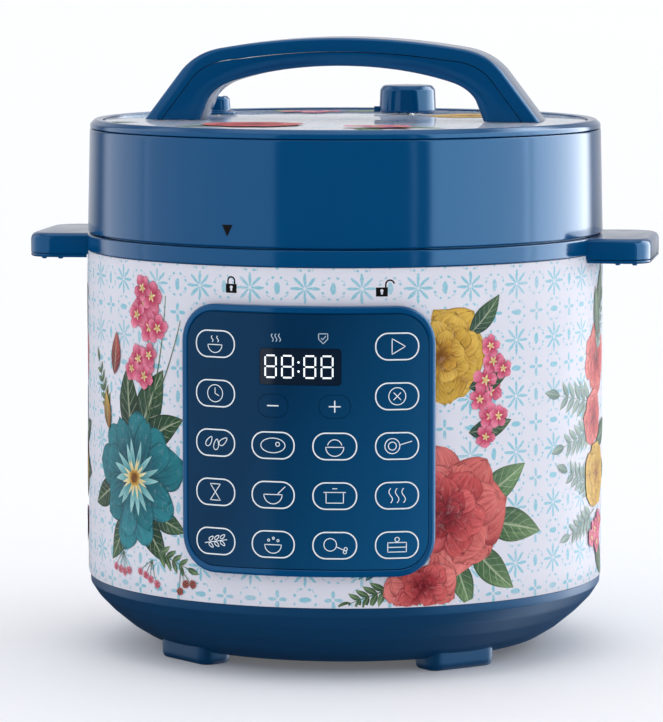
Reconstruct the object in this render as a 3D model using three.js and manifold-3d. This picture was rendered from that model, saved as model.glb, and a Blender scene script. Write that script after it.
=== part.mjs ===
// A countertop electric pressure and rice cooker with a bayonet lid, an arched lid handle, two side
// handles and a curved front keypad. Millimetres, +Z up. The origin is on the body's axis, at the
// level its feet stand on, and the keypad faces -Y.

import * as THREE from "three";
import { mergeVertices } from "three/addons/utils/BufferGeometryUtils.js";
import Module from "manifold-3d";

// ---------------------------------------------------------------- driving dimensions

const GAP = 0.3; // between pieces that touch on the real cooker
const SEGMENTS = 48; // sides of every large round piece, all in phase
const SMALL_SEGMENTS = 20; // sides of knobs, pins and bosses

const BODY_R = 132; // outside of the printed steel sleeve
const SLEEVE_WALL = 0.8;
const SLEEVE_LOW = 37.5;
const SLEEVE_HIGH = 203.5;
const BASE_BOTTOM = 5.5; // underside of the base bowl, above the table

const COLLAR_R = BODY_R + 0.5;
const COLLAR_TOP = 212;
const WEB_LOW = 195; // the collar's inward web, which closes the gap round the liner

const LINER_R = 116;
const LINER_WALL = 1.5;
const LINER_BOTTOM = 40.2;
const LINER_TOP = 205.9;
const FLANGE_R = 119.5; // liner flange between its bayonet lugs
const FLANGE_THICK = 2;

const LUG_COUNT = 6;
const LUG_ANGLE = 22.5; // degrees that each bayonet lug spans
const LUG_TIP_R = 125.5; // liner lugs reach out to here
const LID_LUG_R = 120.3; // lid lugs reach in to here

const POT_R = 112;
const POT_WALL = 1.5;
const POT_BOTTOM = 51.9;
const POT_RIM = 207.7; // top face of the pot's rolled-out rim

const LID_BOTTOM = 212.8;
const LID_SHOULDER = 265.3; // where the skirt stops and the top ring sits
const LID_SKIRT_R = 131.8;
const LID_TOP = 269; // face of the printed top disc
const PLATE_DOME = 238; // top face of the steel lid plate's raised middle

const HANDLE_HALF_DEPTH = 17;
const HANDLE_CREASE = 7; // how far the handle's upper shell wraps down from its outer edge
const HANDLE_SCREW_X = 79;

const VALVE_AT = [21.4, 80]; // steam release valve, x and y
const FLOAT_AT = [-76.8, 56.3]; // float valve, x and y

const PANEL_R = 136.8; // outside of the keypad frame
const PANEL_WIDTH = 130.4; // along the curve
const PANEL_HEIGHT = 132;
const PANEL_Z = 119.4;
const PANEL_CORNER = 19;
const FILM_OUT = 136.6; // outside of the keypad film and its keys
const FILM_IN = 135.6;

const KEY_WIDTH = 22;
const KEY_HEIGHT = 13.7;
const KEY_PITCH_S = 30.4; // between key columns, along the curve
const KEY_PITCH_Z = 24.2;
const KEY_MIDDLE_Z = 117.5;
const BOARD_FRONT = -123.6; // front face of the flat control board
const BOARD_THICK = 1.6;
const SWITCH_TALL = 1.6;

const HANDLE_LOW = 199.7; // underside of the side handles
const HANDLE_TIP_X = 159.2;

// ---------------------------------------------------------------- solid helpers

const wasm = await Module();
wasm.setup();

// A closed mesh as a manifold solid, with its faces turned outwards.
function solidOf(geometry) {
  const bare = new THREE.BufferGeometry();
  bare.setAttribute("position", geometry.getAttribute("position").clone());
  if (geometry.index) bare.setIndex(geometry.index.clone());
  const merged = mergeVertices(bare, 1e-4);
  const position = merged.getAttribute("position").array;
  const index = merged.index.array;
  const triangles = [];
  let volume = 0;
  const a = new THREE.Vector3();
  const b = new THREE.Vector3();
  const c = new THREE.Vector3();
  for (let i = 0; i < index.length; i += 3) {
    const [p, q, r] = [index[i], index[i + 1], index[i + 2]];
    if (p === q || q === r || p === r) continue;
    triangles.push(p, q, r);
    a.fromArray(position, 3 * p);
    b.fromArray(position, 3 * q);
    c.fromArray(position, 3 * r);
    volume += a.dot(b.cross(c));
  }
  if (volume < 0) {
    for (let i = 0; i < triangles.length; i += 3) {
      [triangles[i + 1], triangles[i + 2]] = [triangles[i + 2], triangles[i + 1]];
    }
  }
  const mesh = new wasm.Mesh({
    numProp: 3,
    vertProperties: new Float32Array(position),
    triVerts: new Uint32Array(triangles),
  });
  return new wasm.Manifold(mesh);
}

function geometryOf(made) {
  const { vertProperties, triVerts, numProp } = made.getMesh();
  const count = vertProperties.length / numProp;
  const position = new Float32Array(count * 3);
  for (let i = 0; i < count; i++) {
    position.set(vertProperties.subarray(i * numProp, i * numProp + 3), i * 3);
  }
  const geometry = new THREE.BufferGeometry();
  geometry.setAttribute("position", new THREE.BufferAttribute(position, 3));
  geometry.setIndex(new THREE.BufferAttribute(new Uint32Array(triVerts), 1));
  geometry.computeVertexNormals();
  return geometry;
}

const join = (first, ...rest) =>
  geometryOf(rest.reduce((sum, g) => sum.add(solidOf(g)), solidOf(first)));

const cut = (first, ...rest) =>
  geometryOf(rest.reduce((left, g) => left.subtract(solidOf(g)), solidOf(first)));

// A closed [radius, height] profile turned round the Z axis.
function revolve(profile, segments = SEGMENTS) {
  const points = [...profile, profile[0]].map(([r, z]) => new THREE.Vector2(r, z));
  return new THREE.LatheGeometry(points, segments).rotateX(Math.PI / 2);
}

function revolveAt([x, y], profile, segments = SMALL_SEGMENTS) {
  return revolve(profile, segments).translate(x, y, 0);
}

function upright(x, y, radius, low, high, sides = SMALL_SEGMENTS) {
  const bar = new THREE.CylinderGeometry(radius, radius, high - low, sides);
  return bar.rotateX(Math.PI / 2).translate(x, y, (low + high) / 2);
}

// A bar along Y.
function crosswise(x, z, radius, near, far, sides = 8) {
  const bar = new THREE.CylinderGeometry(radius, radius, far - near, sides);
  return bar.translate(x, (near + far) / 2, z);
}

function block([x0, x1], [y0, y1], [z0, z1]) {
  const box = new THREE.BoxGeometry(x1 - x0, y1 - y0, z1 - z0);
  return box.translate((x0 + x1) / 2, (y0 + y1) / 2, (z0 + z1) / 2);
}

// A solid through a row of convex rings, all with the same number of points.
function loft(rings) {
  const around = rings[0].length;
  const index = [];
  for (let i = 0; i + 1 < rings.length; i++) {
    for (let j = 0; j < around; j++) {
      const k = (j + 1) % around;
      const [p, q, r, s] = [i * around + j, i * around + k, (i + 1) * around + k, (i + 1) * around + j];
      index.push(p, q, r, p, r, s);
    }
  }
  const last = (rings.length - 1) * around;
  for (let j = 1; j + 1 < around; j++) {
    index.push(0, j + 1, j, last, last + j, last + j + 1);
  }
  const geometry = new THREE.BufferGeometry();
  geometry.setFromPoints(rings.flat());
  geometry.setIndex(index);
  return geometry;
}

const onCylinder = (radius, angle, z) =>
  new THREE.Vector3(radius * Math.sin(angle), -radius * Math.cos(angle), z);

// A piece of a ring between two radii and two heights, centred at an angle from the front.
function sector(inner, outer, low, high, middle, width) {
  const rings = [];
  const steps = Math.round(width / (360 / SEGMENTS));
  for (let i = 0; i <= steps; i++) {
    const angle = THREE.MathUtils.degToRad(middle - width / 2 + (width * i) / steps);
    rings.push([
      onCylinder(inner, angle, low),
      onCylinder(inner, angle, high),
      onCylinder(outer, angle, high),
      onCylinder(outer, angle, low),
    ]);
  }
  return loft(rings);
}

// Where the columns of a wrapped plate stand, and how tall each is: [distance along, half height].
function plateColumns(width, height, corner, arcSteps) {
  const columns = [];
  const flat = width / 2 - corner;
  for (let i = 0; i <= arcSteps; i++) {
    const turn = (Math.PI / 2) * (i / arcSteps);
    columns.push([-flat - corner * Math.cos(turn), height / 2 - corner + corner * Math.sin(turn)]);
  }
  const spans = Math.max(1, Math.round((2 * flat) / 10));
  for (let i = 1; i < spans; i++) columns.push([-flat + (2 * flat * i) / spans, height / 2]);
  for (let i = arcSteps; i >= 0; i--) {
    const [s, half] = columns[i];
    columns.push([-s, half]);
  }
  return columns;
}

// A round-cornered plate wrapped on the body's cylinder, centred s along the curve and at height z.
function wrappedPlate({ s = 0, z, width, height, corner, inner, outer, arcSteps = 5 }) {
  const rings = plateColumns(width, height, corner, arcSteps).map(([along, half]) => {
    const angle = (s + along) / FILM_OUT;
    return [
      onCylinder(inner, angle, z - half),
      onCylinder(inner, angle, z + half),
      onCylinder(outer, angle, z + half),
      onCylinder(outer, angle, z - half),
    ];
  });
  return loft(rings);
}

// ---------------------------------------------------------------- materials

const finish = (colour, roughness, metalness = 0) =>
  new THREE.MeshStandardMaterial({ color: colour, roughness, metalness });

const glossBlue = finish(0x1c5a92, 0.18);
const satinBlue = finish(0x1f4d7c, 0.45);
const panelBlue = finish(0x0c3c70, 0.2);
const printedWhite = finish(0xe4e2ea, 0.25);
const tintedBlack = finish(0x10161f, 0.12);
const black = finish(0x17191c, 0.5);
const steel = finish(0xb9bcc0, 0.28, 1);
const castAluminium = finish(0x9a9c9f, 0.5, 1);
const nonstick = finish(0x34363a, 0.4);
const silicone = finish(0xd7dbdc, 0.55);
const clearPlastic = finish(0xbfc9cf, 0.1);
const circuit = finish(0x1d5b38, 0.5);

const cooker = new THREE.Group();

function add(name, geometry, material) {
  const mesh = new THREE.Mesh(geometryOf(solidOf(geometry)), material);
  mesh.name = name;
  cooker.add(mesh);
}

// ---------------------------------------------------------------- base and feet

// The bowl's outside, from its flat underside up to the edge under the sleeve.
const BOWL = [
  [100.5, BASE_BOTTOM],
  [111, 12],
  [120.6, 20],
  [127.4, 27],
  [131.2, 33],
  [131.4, SLEEVE_LOW - GAP],
];
const BASE_MOUTH_R = 80.5; // opening that the bottom cover closes
const SHELL = 2.5; // wall of the moulded casings
const POST_RADIUS_AT = 88;
const FOOT_AT_R = 96;
const FOOT_TURN = 43; // degrees of each foot from the front or the back

function baseShell() {
  const inside = [2, 4].map((i) => [BOWL[i][0] - 2.2, BOWL[i][1] + 1.6]);
  const shell = revolve([
    [BASE_MOUTH_R, BASE_BOTTOM],
    ...BOWL,
    [130.9, SLEEVE_LOW - GAP],
    [130.9, SLEEVE_LOW + 8.5],
    [129.2, SLEEVE_LOW + 8.5],
    ...inside.reverse(),
    [99.5, BASE_BOTTOM + SHELL],
    [BASE_MOUTH_R, BASE_BOTTOM + SHELL],
  ]);
  const posts = [45, 135, 225, 315].map((degrees) => {
    const at = onCylinder(POST_RADIUS_AT, THREE.MathUtils.degToRad(degrees), 0);
    return upright(at.x, at.y, 5, BASE_BOTTOM + 1, LINER_BOTTOM - GAP, 12);
  });
  return join(shell, ...posts);
}

// A foot is a rounded block cut to the bowl above it.
function foot(degrees) {
  const [radial, tangential, corner] = [19, 40, 6];
  const outline = new THREE.Shape();
  const [w, h] = [tangential / 2, radial / 2];
  outline.moveTo(-w + corner, -h);
  outline.absarc(w - corner, -h + corner, corner, -Math.PI / 2, 0);
  outline.absarc(w - corner, h - corner, corner, 0, Math.PI / 2);
  outline.absarc(-w + corner, h - corner, corner, Math.PI / 2, Math.PI);
  outline.absarc(-w + corner, -h + corner, corner, Math.PI, 1.5 * Math.PI);
  const tall = 18;
  const raw = new THREE.ExtrudeGeometry(outline, { depth: tall, bevelEnabled: false, curveSegments: 3 });
  raw.translate(0, -FOOT_AT_R, 0).rotateZ(THREE.MathUtils.degToRad(degrees));
  const above = revolve([
    [0, BASE_BOTTOM - GAP],
    ...BOWL.map(([r, z]) => [r + GAP, z - GAP]),
    [BODY_R + 4, 60],
    [0, 60],
  ]);
  return cut(raw, above);
}

function bottomCover() {
  const [low, high] = [BASE_BOTTOM - GAP - 1.5, BASE_BOTTOM - GAP];
  const disc = revolve([[0, low], [83, low], [83, high], [0, high]]);
  const standoffs = [];
  for (const x of [-48, 48]) {
    for (const y of [-28, 28]) standoffs.push(upright(x, y, 3, high - 0.5, 19.7, 10));
  }
  const slots = [];
  for (let i = -3; i <= 3; i++) slots.push(block([-30, 30], [i * 11 - 1.5, i * 11 + 1.5], [0, high + 1]));
  return cut(join(disc, ...standoffs), ...slots);
}

add("base_shell", baseShell(), satinBlue);
add("foot_front_left", foot(-FOOT_TURN), satinBlue);
add("foot_front_right", foot(FOOT_TURN), satinBlue);
add("foot_rear_left", foot(FOOT_TURN - 180), satinBlue);
add("foot_rear_right", foot(180 - FOOT_TURN), satinBlue);
add("bottom_cover", bottomCover(), black);

// ---------------------------------------------------------------- sleeve

const INLET_Z = 59; // middle of the mains inlet, low at the back
const CUP_PEG_X = 12;
const CUP_PEG_Z = 176;

function outerSleeve() {
  const tube = revolve([
    [BODY_R - SLEEVE_WALL, SLEEVE_LOW],
    [BODY_R, SLEEVE_LOW],
    [BODY_R, SLEEVE_HIGH],
    [BODY_R - SLEEVE_WALL, SLEEVE_HIGH],
  ]);
  const keypadWindow = block([-54, 54], [-140, -100], [60, 179]);
  const inletWindow = block([-17, 17], [100, 140], [INLET_Z - 12, INLET_Z + 12]);
  const pegHoles = [-CUP_PEG_X, CUP_PEG_X].map((x) => crosswise(x, CUP_PEG_Z, 2.8, 120, 140, 12));
  return cut(tube, keypadWindow, inletWindow, ...pegHoles);
}

add("outer_sleeve", outerSleeve(), printedWhite);

// ---------------------------------------------------------------- collar and side handles

// Half of a side handle's plan, from its root to its tip: a tab with a rounded outer end.
function sideHandleOutline(side) {
  const [root, half, corner] = [129, 37, 14];
  const outline = new THREE.Shape();
  outline.moveTo(side * root, -half);
  outline.lineTo(side * (HANDLE_TIP_X - corner), -half);
  outline.quadraticCurveTo(side * HANDLE_TIP_X, -half, side * HANDLE_TIP_X, -half + corner);
  outline.lineTo(side * HANDLE_TIP_X, half - corner);
  outline.quadraticCurveTo(side * HANDLE_TIP_X, half, side * (HANDLE_TIP_X - corner), half);
  outline.lineTo(side * root, half);
  return outline;
}

function sideHandleSlab(side, low, high) {
  const options = { depth: high - low, bevelEnabled: false, curveSegments: 7 };
  return new THREE.ExtrudeGeometry(sideHandleOutline(side), options).translate(0, 0, low);
}

const HANDLE_COVER_TOP = HANDLE_LOW + 1.5;

function collar() {
  const ring = revolve([
    [COLLAR_R, SLEEVE_HIGH + GAP],
    [COLLAR_R, COLLAR_TOP],
    [130.7, COLLAR_TOP],
    [130.7, WEB_LOW + 2],
    [118.5, WEB_LOW + 2],
    [118.5, WEB_LOW],
    [130.9, WEB_LOW],
    [130.9, SLEEVE_HIGH + GAP],
  ]);
  const throat = revolve([[0, 150], [130.8, 150], [130.8, 260], [0, 260]]);
  const slabs = [-1, 1].map((side) => {
    const slab = cut(sideHandleSlab(side, HANDLE_COVER_TOP + GAP, COLLAR_TOP), throat);
    const hollow = block([side < 0 ? -155 : 136, side < 0 ? -136 : 155], [-26, 26], [190, COLLAR_TOP - 2]);
    const skirtRoom = revolve([[0, 150], [BODY_R + GAP, 150], [BODY_R + GAP, SLEEVE_HIGH + GAP],
      [0, SLEEVE_HIGH + GAP]]);
    return cut(slab, hollow, skirtRoom);
  });
  return join(ring, ...slabs);
}

function handleCover(side) {
  const slab = sideHandleSlab(side, HANDLE_LOW, HANDLE_COVER_TOP);
  const round = revolve([[0, 150], [BODY_R + 0.6, 150], [BODY_R + 0.6, 260], [0, 260]]);
  const pegs = [];
  for (const x of [142.7, 151.2]) {
    for (const y of [-30, 30]) pegs.push(upright(side * x, y, 1.3, HANDLE_LOW - 1.1, HANDLE_LOW + 0.5, 10));
  }
  return join(cut(slab, round), ...pegs);
}

add("collar_with_side_handles", collar(), glossBlue);
add("side_handle_cover_left", handleCover(-1), glossBlue);
add("side_handle_cover_right", handleCover(1), glossBlue);

// ---------------------------------------------------------------- liner, heater and sensor

const lugAngles = Array.from({ length: LUG_COUNT }, (_, i) => (i * 360) / LUG_COUNT);

function liner() {
  const inner = LINER_R - LINER_WALL;
  const flangeLow = LINER_TOP - FLANGE_THICK;
  const cup = revolve([
    [5, LINER_BOTTOM],
    [LINER_R, LINER_BOTTOM],
    [LINER_R, flangeLow],
    [FLANGE_R, flangeLow],
    [FLANGE_R, LINER_TOP],
    [inner, LINER_TOP],
    [inner, LINER_BOTTOM + LINER_WALL],
    [5, LINER_BOTTOM + LINER_WALL],
  ]);
  const lugs = lugAngles.map((at) => sector(FLANGE_R - 1, LUG_TIP_R, flangeLow, LINER_TOP, at, LUG_ANGLE));
  return join(cup, ...lugs);
}

const HEATER_LOW = LINER_BOTTOM + LINER_WALL + GAP;
const HEATER_TOP = POT_BOTTOM - GAP;

add("liner", liner(), steel);
add(
  "heater_plate",
  revolve([[14.5, HEATER_LOW], [86, HEATER_LOW], [86, HEATER_TOP - 3.5], [82, HEATER_TOP],
    [14.5, HEATER_TOP]]),
  castAluminium,
);

const SENSOR_R = 12.5;
const SENSOR_TOP = POT_BOTTOM - 0.2;

add(
  "sensor_cap",
  revolve([[0, SENSOR_TOP - 1.5], [SENSOR_R - 1.5, SENSOR_TOP - 1.5], [SENSOR_R - 1.5, SENSOR_TOP - 6.7],
    [SENSOR_R, SENSOR_TOP - 6.7], [SENSOR_R, SENSOR_TOP], [0, SENSOR_TOP]], SMALL_SEGMENTS),
  castAluminium,
);

// The sensor's coil spring, between the liner's floor and the cap.
class Helix extends THREE.Curve {
  getPoint(t) {
    const [radius, turns, low, high] = [8.2, 4, HEATER_LOW + 0.7, SENSOR_TOP - 2.5];
    const angle = 2 * Math.PI * turns * t;
    return new THREE.Vector3(radius * Math.cos(angle), radius * Math.sin(angle), low + (high - low) * t);
  }
}

function spring() {
  const wire = new THREE.Shape().absarc(0, 0, 0.6, 0, 2 * Math.PI);
  return new THREE.ExtrudeGeometry(wire, { steps: 36, extrudePath: new Helix(), curveSegments: 2 });
}

add("sensor_spring", spring(), steel);

// ---------------------------------------------------------------- electrics

function powerBoard() {
  const board = block([-55, 55], [-35, 35], [20, 20 + BOARD_THICK]);
  const relay = block([-45, -25], [-20, -4], [21, 35]);
  const transformer = block([-8, 16], [-24, -4], [21, 36]);
  const capacitor = upright(34, 12, 6, 21, 37, 14);
  const terminals = block([-30, 10], [18, 28], [21, 30]);
  return join(board, relay, transformer, capacitor, terminals);
}

add("power_board", powerBoard(), circuit);

// Mains inlet: a flanged socket with three blades, open to the back.
function powerInlet() {
  const flange = block([-22, 22], [126, 136], [INLET_Z - 15.5, INLET_Z + 15.5]);
  const wrap = revolve([[0, 0], [BODY_R + GAP, 0], [BODY_R + GAP, 120], [0, 120]]);
  const housing = block([-16.5, 16.5], [119, 134], [INLET_Z - 11.5, INLET_Z + 11.5]);
  const cavity = block([-12, 12], [121, 140], [INLET_Z - 8, INLET_Z + 8.5]);
  const blade = (x, z) => block([x - 1, x + 1], [120, 133], [z - 2, z + 2]);
  const shell = cut(join(cut(flange, wrap), housing), cavity);
  return join(shell, blade(-7, INLET_Z), blade(7, INLET_Z), blade(0, INLET_Z + 4));
}

add("power_inlet", powerInlet(), black);

// ---------------------------------------------------------------- keypad

const panelPlate = (inset, inner, outer) =>
  wrappedPlate({
    z: PANEL_Z,
    width: PANEL_WIDTH - 2 * inset,
    height: PANEL_HEIGHT - 2 * inset,
    corner: PANEL_CORNER - inset,
    inner,
    outer,
    arcSteps: 5,
  });

function keypadFrame() {
  const body = panelPlate(0, BODY_R + GAP, PANEL_R);
  const recess = panelPlate(3.5, FILM_IN - GAP, PANEL_R + 5);
  const opening = panelPlate(6.5, BODY_R - 5, PANEL_R + 5);
  return cut(body, recess, opening);
}

// The keys by column (-1.5 to 1.5) and row (2 at the top), under the names of what they start.
const OVAL = { width: KEY_WIDTH, height: KEY_HEIGHT, corner: KEY_HEIGHT / 2 - 0.3 };
const SIGN = { width: 15, height: 11, corner: 5.2 };
const SIGN_ROW = 0.8;
const KEYS = [
  ["warm", -1.5, 2, OVAL],
  ["delay", -1.5, 1, OVAL],
  ["beans", -1.5, 0, OVAL],
  ["slow", -1.5, -1, OVAL],
  ["grain", -1.5, -2, OVAL],
  ["minus", -0.5, SIGN_ROW, SIGN],
  ["meat", -0.5, 0, OVAL],
  ["soup", -0.5, -1, OVAL],
  ["oats", -0.5, -2, OVAL],
  ["plus", 0.5, SIGN_ROW, SIGN],
  ["rice", 0.5, 0, OVAL],
  ["stew", 0.5, -1, OVAL],
  ["poultry", 0.5, -2, OVAL],
  ["start", 1.5, 2, OVAL],
  ["cancel", 1.5, 1, OVAL],
  ["brown", 1.5, 0, OVAL],
  ["steam", 1.5, -1, OVAL],
  ["cake", 1.5, -2, OVAL],
].map(([name, column, row, size]) => ({
  name,
  size,
  s: column * KEY_PITCH_S,
  z: KEY_MIDDLE_Z + row * KEY_PITCH_Z,
}));

const DISPLAY = { s: -1.8, z: 156, width: 40, height: 17.5, corner: 1.5 };

// A key or window plate, grown all round by `grow`.
const grown = ({ s, z, width, height, corner }, grow, inner, outer) =>
  wrappedPlate({ s, z, width: width + 2 * grow, height: height + 2 * grow, corner: corner + grow,
    inner, outer, arcSteps: 3 });

function keypadFilm() {
  const holes = KEYS.map(({ s, z, size }) => grown({ s, z, ...size }, GAP, FILM_IN - 2, FILM_OUT + 2));
  holes.push(grown(DISPLAY, GAP, FILM_IN - 2, FILM_OUT + 2));
  return cut(panelPlate(3.8, FILM_IN, FILM_OUT), ...holes);
}

// A key cap with the stem that reaches its switch on the board.
function key({ s, z, size }) {
  const cap = grown({ s, z, ...size }, 0, FILM_IN - 0.8, FILM_OUT);
  const root = onCylinder(FILM_IN, s / FILM_OUT, z);
  const tip = BOARD_FRONT - SWITCH_TALL - 0.5;
  return join(cap, crosswise(root.x, z, 1.5, root.y, tip));
}

function controlBoard() {
  const board = block([-48, 48], [BOARD_FRONT, BOARD_FRONT + BOARD_THICK], [61, 178]);
  const switches = KEYS.map(({ s, z }) => {
    const { x } = onCylinder(FILM_IN, s / FILM_OUT, z);
    return block([x - 3, x + 3], [BOARD_FRONT - SWITCH_TALL, BOARD_FRONT + 0.5], [z - 3, z + 3]);
  });
  return join(board, ...switches);
}

add("keypad_frame", keypadFrame(), glossBlue);
add("keypad_film", keypadFilm(), panelBlue);
add("display_window", grown(DISPLAY, 0, FILM_IN, FILM_OUT), tintedBlack);
add("display_module", block([-19.5, 19.5], [-133, BOARD_FRONT - GAP], [147.5, 164.5]), black);
add("control_board", controlBoard(), circuit);
for (const one of KEYS) add("key_" + one.name, key(one), panelBlue);

// ---------------------------------------------------------------- drip cup

function dripCup() {
  const [half, low, high, back, wall] = [21, 152, 194, 141.5, 1.5];
  const drum = (r) => revolve([[0, 100], [r, 100], [r, 230], [0, 230]]);
  const outside = cut(block([-half, half], [100, back], [low, high]), drum(BODY_R + 0.5));
  const room = block([-half + wall, half - wall], [100, back - wall], [low + wall, high + 5]);
  const pegs = [-CUP_PEG_X, CUP_PEG_X].map((x) => crosswise(x, CUP_PEG_Z, 2.3, 129.2, 133.4, 12));
  return join(cut(outside, cut(room, drum(BODY_R + 0.5 + wall))), ...pegs);
}

add("drip_cup", dripCup(), clearPlastic);

// ---------------------------------------------------------------- inner pot and its seal

add(
  "inner_pot",
  revolve([
    [0, POT_BOTTOM],
    [105.5, POT_BOTTOM],
    [POT_R, POT_BOTTOM + 6.5],
    [POT_R, POT_RIM - POT_WALL],
    [120.5, POT_RIM - POT_WALL],
    [120.5, POT_RIM],
    [POT_R - POT_WALL, POT_RIM],
    [POT_R - POT_WALL, POT_BOTTOM + 7.2],
    [105, POT_BOTTOM + 2],
    [0, POT_BOTTOM + 2],
  ]),
  nonstick,
);

const PLATE_EDGE = 218.2; // underside of the lid plate over the pot's rim
const SEAL_LOW = POT_RIM + GAP;

add(
  "sealing_ring",
  revolve([
    [112.5, SEAL_LOW],
    [121.5, SEAL_LOW],
    [121.5, PLATE_EDGE - 0.6],
    [117, PLATE_EDGE - 0.6],
    [117, SEAL_LOW + 3],
    [112.5, SEAL_LOW + 3],
  ]),
  silicone,
);

// ---------------------------------------------------------------- lid

const LUG_LOW = 201; // underside of the lid's lugs, which turn in under the liner's

function lidPlate() {
  const thick = 1.5;
  const dome = revolve([
    [0, PLATE_DOME - thick],
    [104, PLATE_DOME - thick],
    [110.5, PLATE_EDGE],
    [127, PLATE_EDGE],
    [127, LUG_LOW],
    [128.5, LUG_LOW],
    [128.5, PLATE_EDGE + thick],
    [111.6, PLATE_EDGE + thick],
    [105.2, PLATE_DOME],
    [0, PLATE_DOME],
  ]);
  const lugs = lugAngles.map((at) => sector(LID_LUG_R, 127.5, LUG_LOW, LUG_LOW + 2, at, LUG_ANGLE));
  const holes = [
    upright(...VALVE_AT, 4.4, 225, 245, 16),
    upright(...FLOAT_AT, 2.8, 225, 245, 16),
    upright(0, 0, 3.4, 225, 245, 16),
  ];
  return cut(join(dome, ...lugs), ...holes);
}

const COVER_TOP = LID_TOP - 3.1;

function lidCover() {
  const shell = revolve([
    [0, COVER_TOP - SHELL],
    [120.8, COVER_TOP - SHELL],
    [120.8, LID_SHOULDER - SHELL],
    [128.1, LID_SHOULDER - SHELL],
    [128.9, LID_BOTTOM - 2.2],
    [129.9, LID_BOTTOM - 2.2],
    [129.9, LID_BOTTOM],
    [LID_SKIRT_R, LID_BOTTOM],
    [130.6, LID_SHOULDER],
    [123.5, LID_SHOULDER],
    [123.5, COVER_TOP],
    [0, COVER_TOP],
  ]);
  const boss = upright(0, 0, 8, PLATE_DOME + GAP, COVER_TOP - 1, 16);
  const holes = [
    upright(0, 0, 3.4, 230, 260, 16),
    upright(...VALVE_AT, 5.5, 255, 280, 16),
    upright(...FLOAT_AT, 4.2, 255, 280, 16),
    ...[-1, 1].map((side) => upright(side * HANDLE_SCREW_X, 0, 2.5, 255, 280, 12)),
  ];
  return cut(join(shell, boss), ...holes);
}

function topDisc() {
  const low = COVER_TOP + GAP;
  const disc = revolve([[0, low], [123.4, low], [123.4, LID_TOP], [0, LID_TOP]]);
  const holes = [
    upright(...VALVE_AT, 5.5, 260, 280, 16),
    upright(...FLOAT_AT, 4.2, 260, 280, 16),
    ...[-1, 1].map((side) => upright(side * HANDLE_SCREW_X, 0, 2.5, 260, 280, 12)),
  ];
  return cut(disc, ...holes);
}

add("lid_inner_plate", lidPlate(), steel);
add("lid_cover", lidCover(), glossBlue);
add(
  "lid_top_ring",
  revolve([[123.8, LID_SHOULDER + GAP], [130.5, LID_SHOULDER + GAP], [130.3, 267.8], [127.8, 270.1],
    [123.8, 269.7]]),
  glossBlue,
);
add("lid_top_disc", topDisc(), printedWhite);
add("seal_rack", new THREE.TorusGeometry(115.6, 1.1, 4, SEGMENTS).translate(0, 0, 216.8), steel);

function hexBolt() {
  const head = upright(0, 0, 6.5, PLATE_DOME - 1.5 - GAP - 4, PLATE_DOME - 1.5 - GAP, 6);
  return join(head, upright(0, 0, 3, PLATE_DOME - 2.5, 258, 12));
}

add("lid_plate_bolt", hexBolt(), steel);

// ---------------------------------------------------------------- lid handle

const FOOT_Z = LID_TOP + GAP;
const HANDLE_STATIONS = 15; // per half

// Half of an outline in the XZ plane, from the left foot to the middle.
function halfPath(...pieces) {
  const path = new THREE.CurvePath();
  pieces.forEach((piece) => path.add(piece));
  return path.getSpacedPoints(HANDLE_STATIONS);
}

const V2 = (x, z) => new THREE.Vector2(x, z);
const outerHalf = halfPath(
  new THREE.LineCurve(V2(-101.6, FOOT_Z), V2(-82.5, 294.6)),
  new THREE.QuadraticBezierCurve(V2(-82.5, 294.6), V2(-74.8, 303.8), V2(-62, 306)),
  new THREE.QuadraticBezierCurve(V2(-62, 306), V2(-31, 311.4), V2(0, 311.4)),
);
const innerHalf = halfPath(
  new THREE.LineCurve(V2(-72.7, FOOT_Z), V2(-68.6, 280)),
  new THREE.QuadraticBezierCurve(V2(-68.6, 280), V2(-64.8, 286.2), V2(-56, 289)),
  new THREE.QuadraticBezierCurve(V2(-56, 289), V2(-31, 297), V2(0, 297)),
);
const mirrored = (half) => [...half, ...half.slice(0, -1).reverse().map(({ x, y }) => V2(-x, y))];

// Rings through both outlines: from `from` to `to` of the way in, each given as a distance from the
// outer edge or as Infinity for the inner edge, with the half depth at each.
function handleShell(from, to) {
  const outer = mirrored(outerHalf);
  const inner = mirrored(innerHalf);
  const rings = outer.map((edge, i) => {
    const across = inner[i].clone().sub(edge);
    // The crease keeps its distance from the outer edge, however much the legs lean.
    const before = outer[Math.max(0, i - 1)];
    const after = outer[Math.min(outer.length - 1, i + 1)];
    const along = after.clone().sub(before).normalize();
    const lean = Math.abs(along.x * across.y - along.y * across.x) / across.length();
    const at = ({ distance }) => {
      const point = Number.isFinite(distance)
        ? edge.clone().addScaledVector(across, distance / lean / across.length())
        : inner[i].clone();
      if (i === 0 || i === outer.length - 1) point.y = FOOT_Z;
      return point;
    };
    const [a, b] = [at(from), at(to)];
    return [
      new THREE.Vector3(a.x, -from.half, a.y),
      new THREE.Vector3(a.x, from.half, a.y),
      new THREE.Vector3(b.x, to.half, b.y),
      new THREE.Vector3(b.x, -to.half, b.y),
    ];
  });
  return loft(rings);
}

const upperShell = handleShell(
  { distance: 0, half: HANDLE_HALF_DEPTH - 1 },
  { distance: HANDLE_CREASE, half: HANDLE_HALF_DEPTH },
);
const lowerShell = handleShell(
  { distance: HANDLE_CREASE + GAP, half: HANDLE_HALF_DEPTH },
  { distance: Infinity, half: HANDLE_HALF_DEPTH - 2 },
);

add("handle_upper_shell", upperShell, glossBlue);
add(
  "handle_lower_shell",
  cut(lowerShell, ...[-1, 1].map((side) => upright(side * HANDLE_SCREW_X, 0, 2.3, 260, 283, 12))),
  glossBlue,
);
for (const [name, side] of [["left", -1], ["right", 1]]) {
  const x = side * HANDLE_SCREW_X;
  const under = COVER_TOP - SHELL - GAP;
  const screw = join(upright(x, 0, 4.5, under - 2.6, under, 12), upright(x, 0, 2, under - 1, 281, 10));
  add("handle_screw_" + name, screw, steel);
}

// ---------------------------------------------------------------- steam release valve

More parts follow.
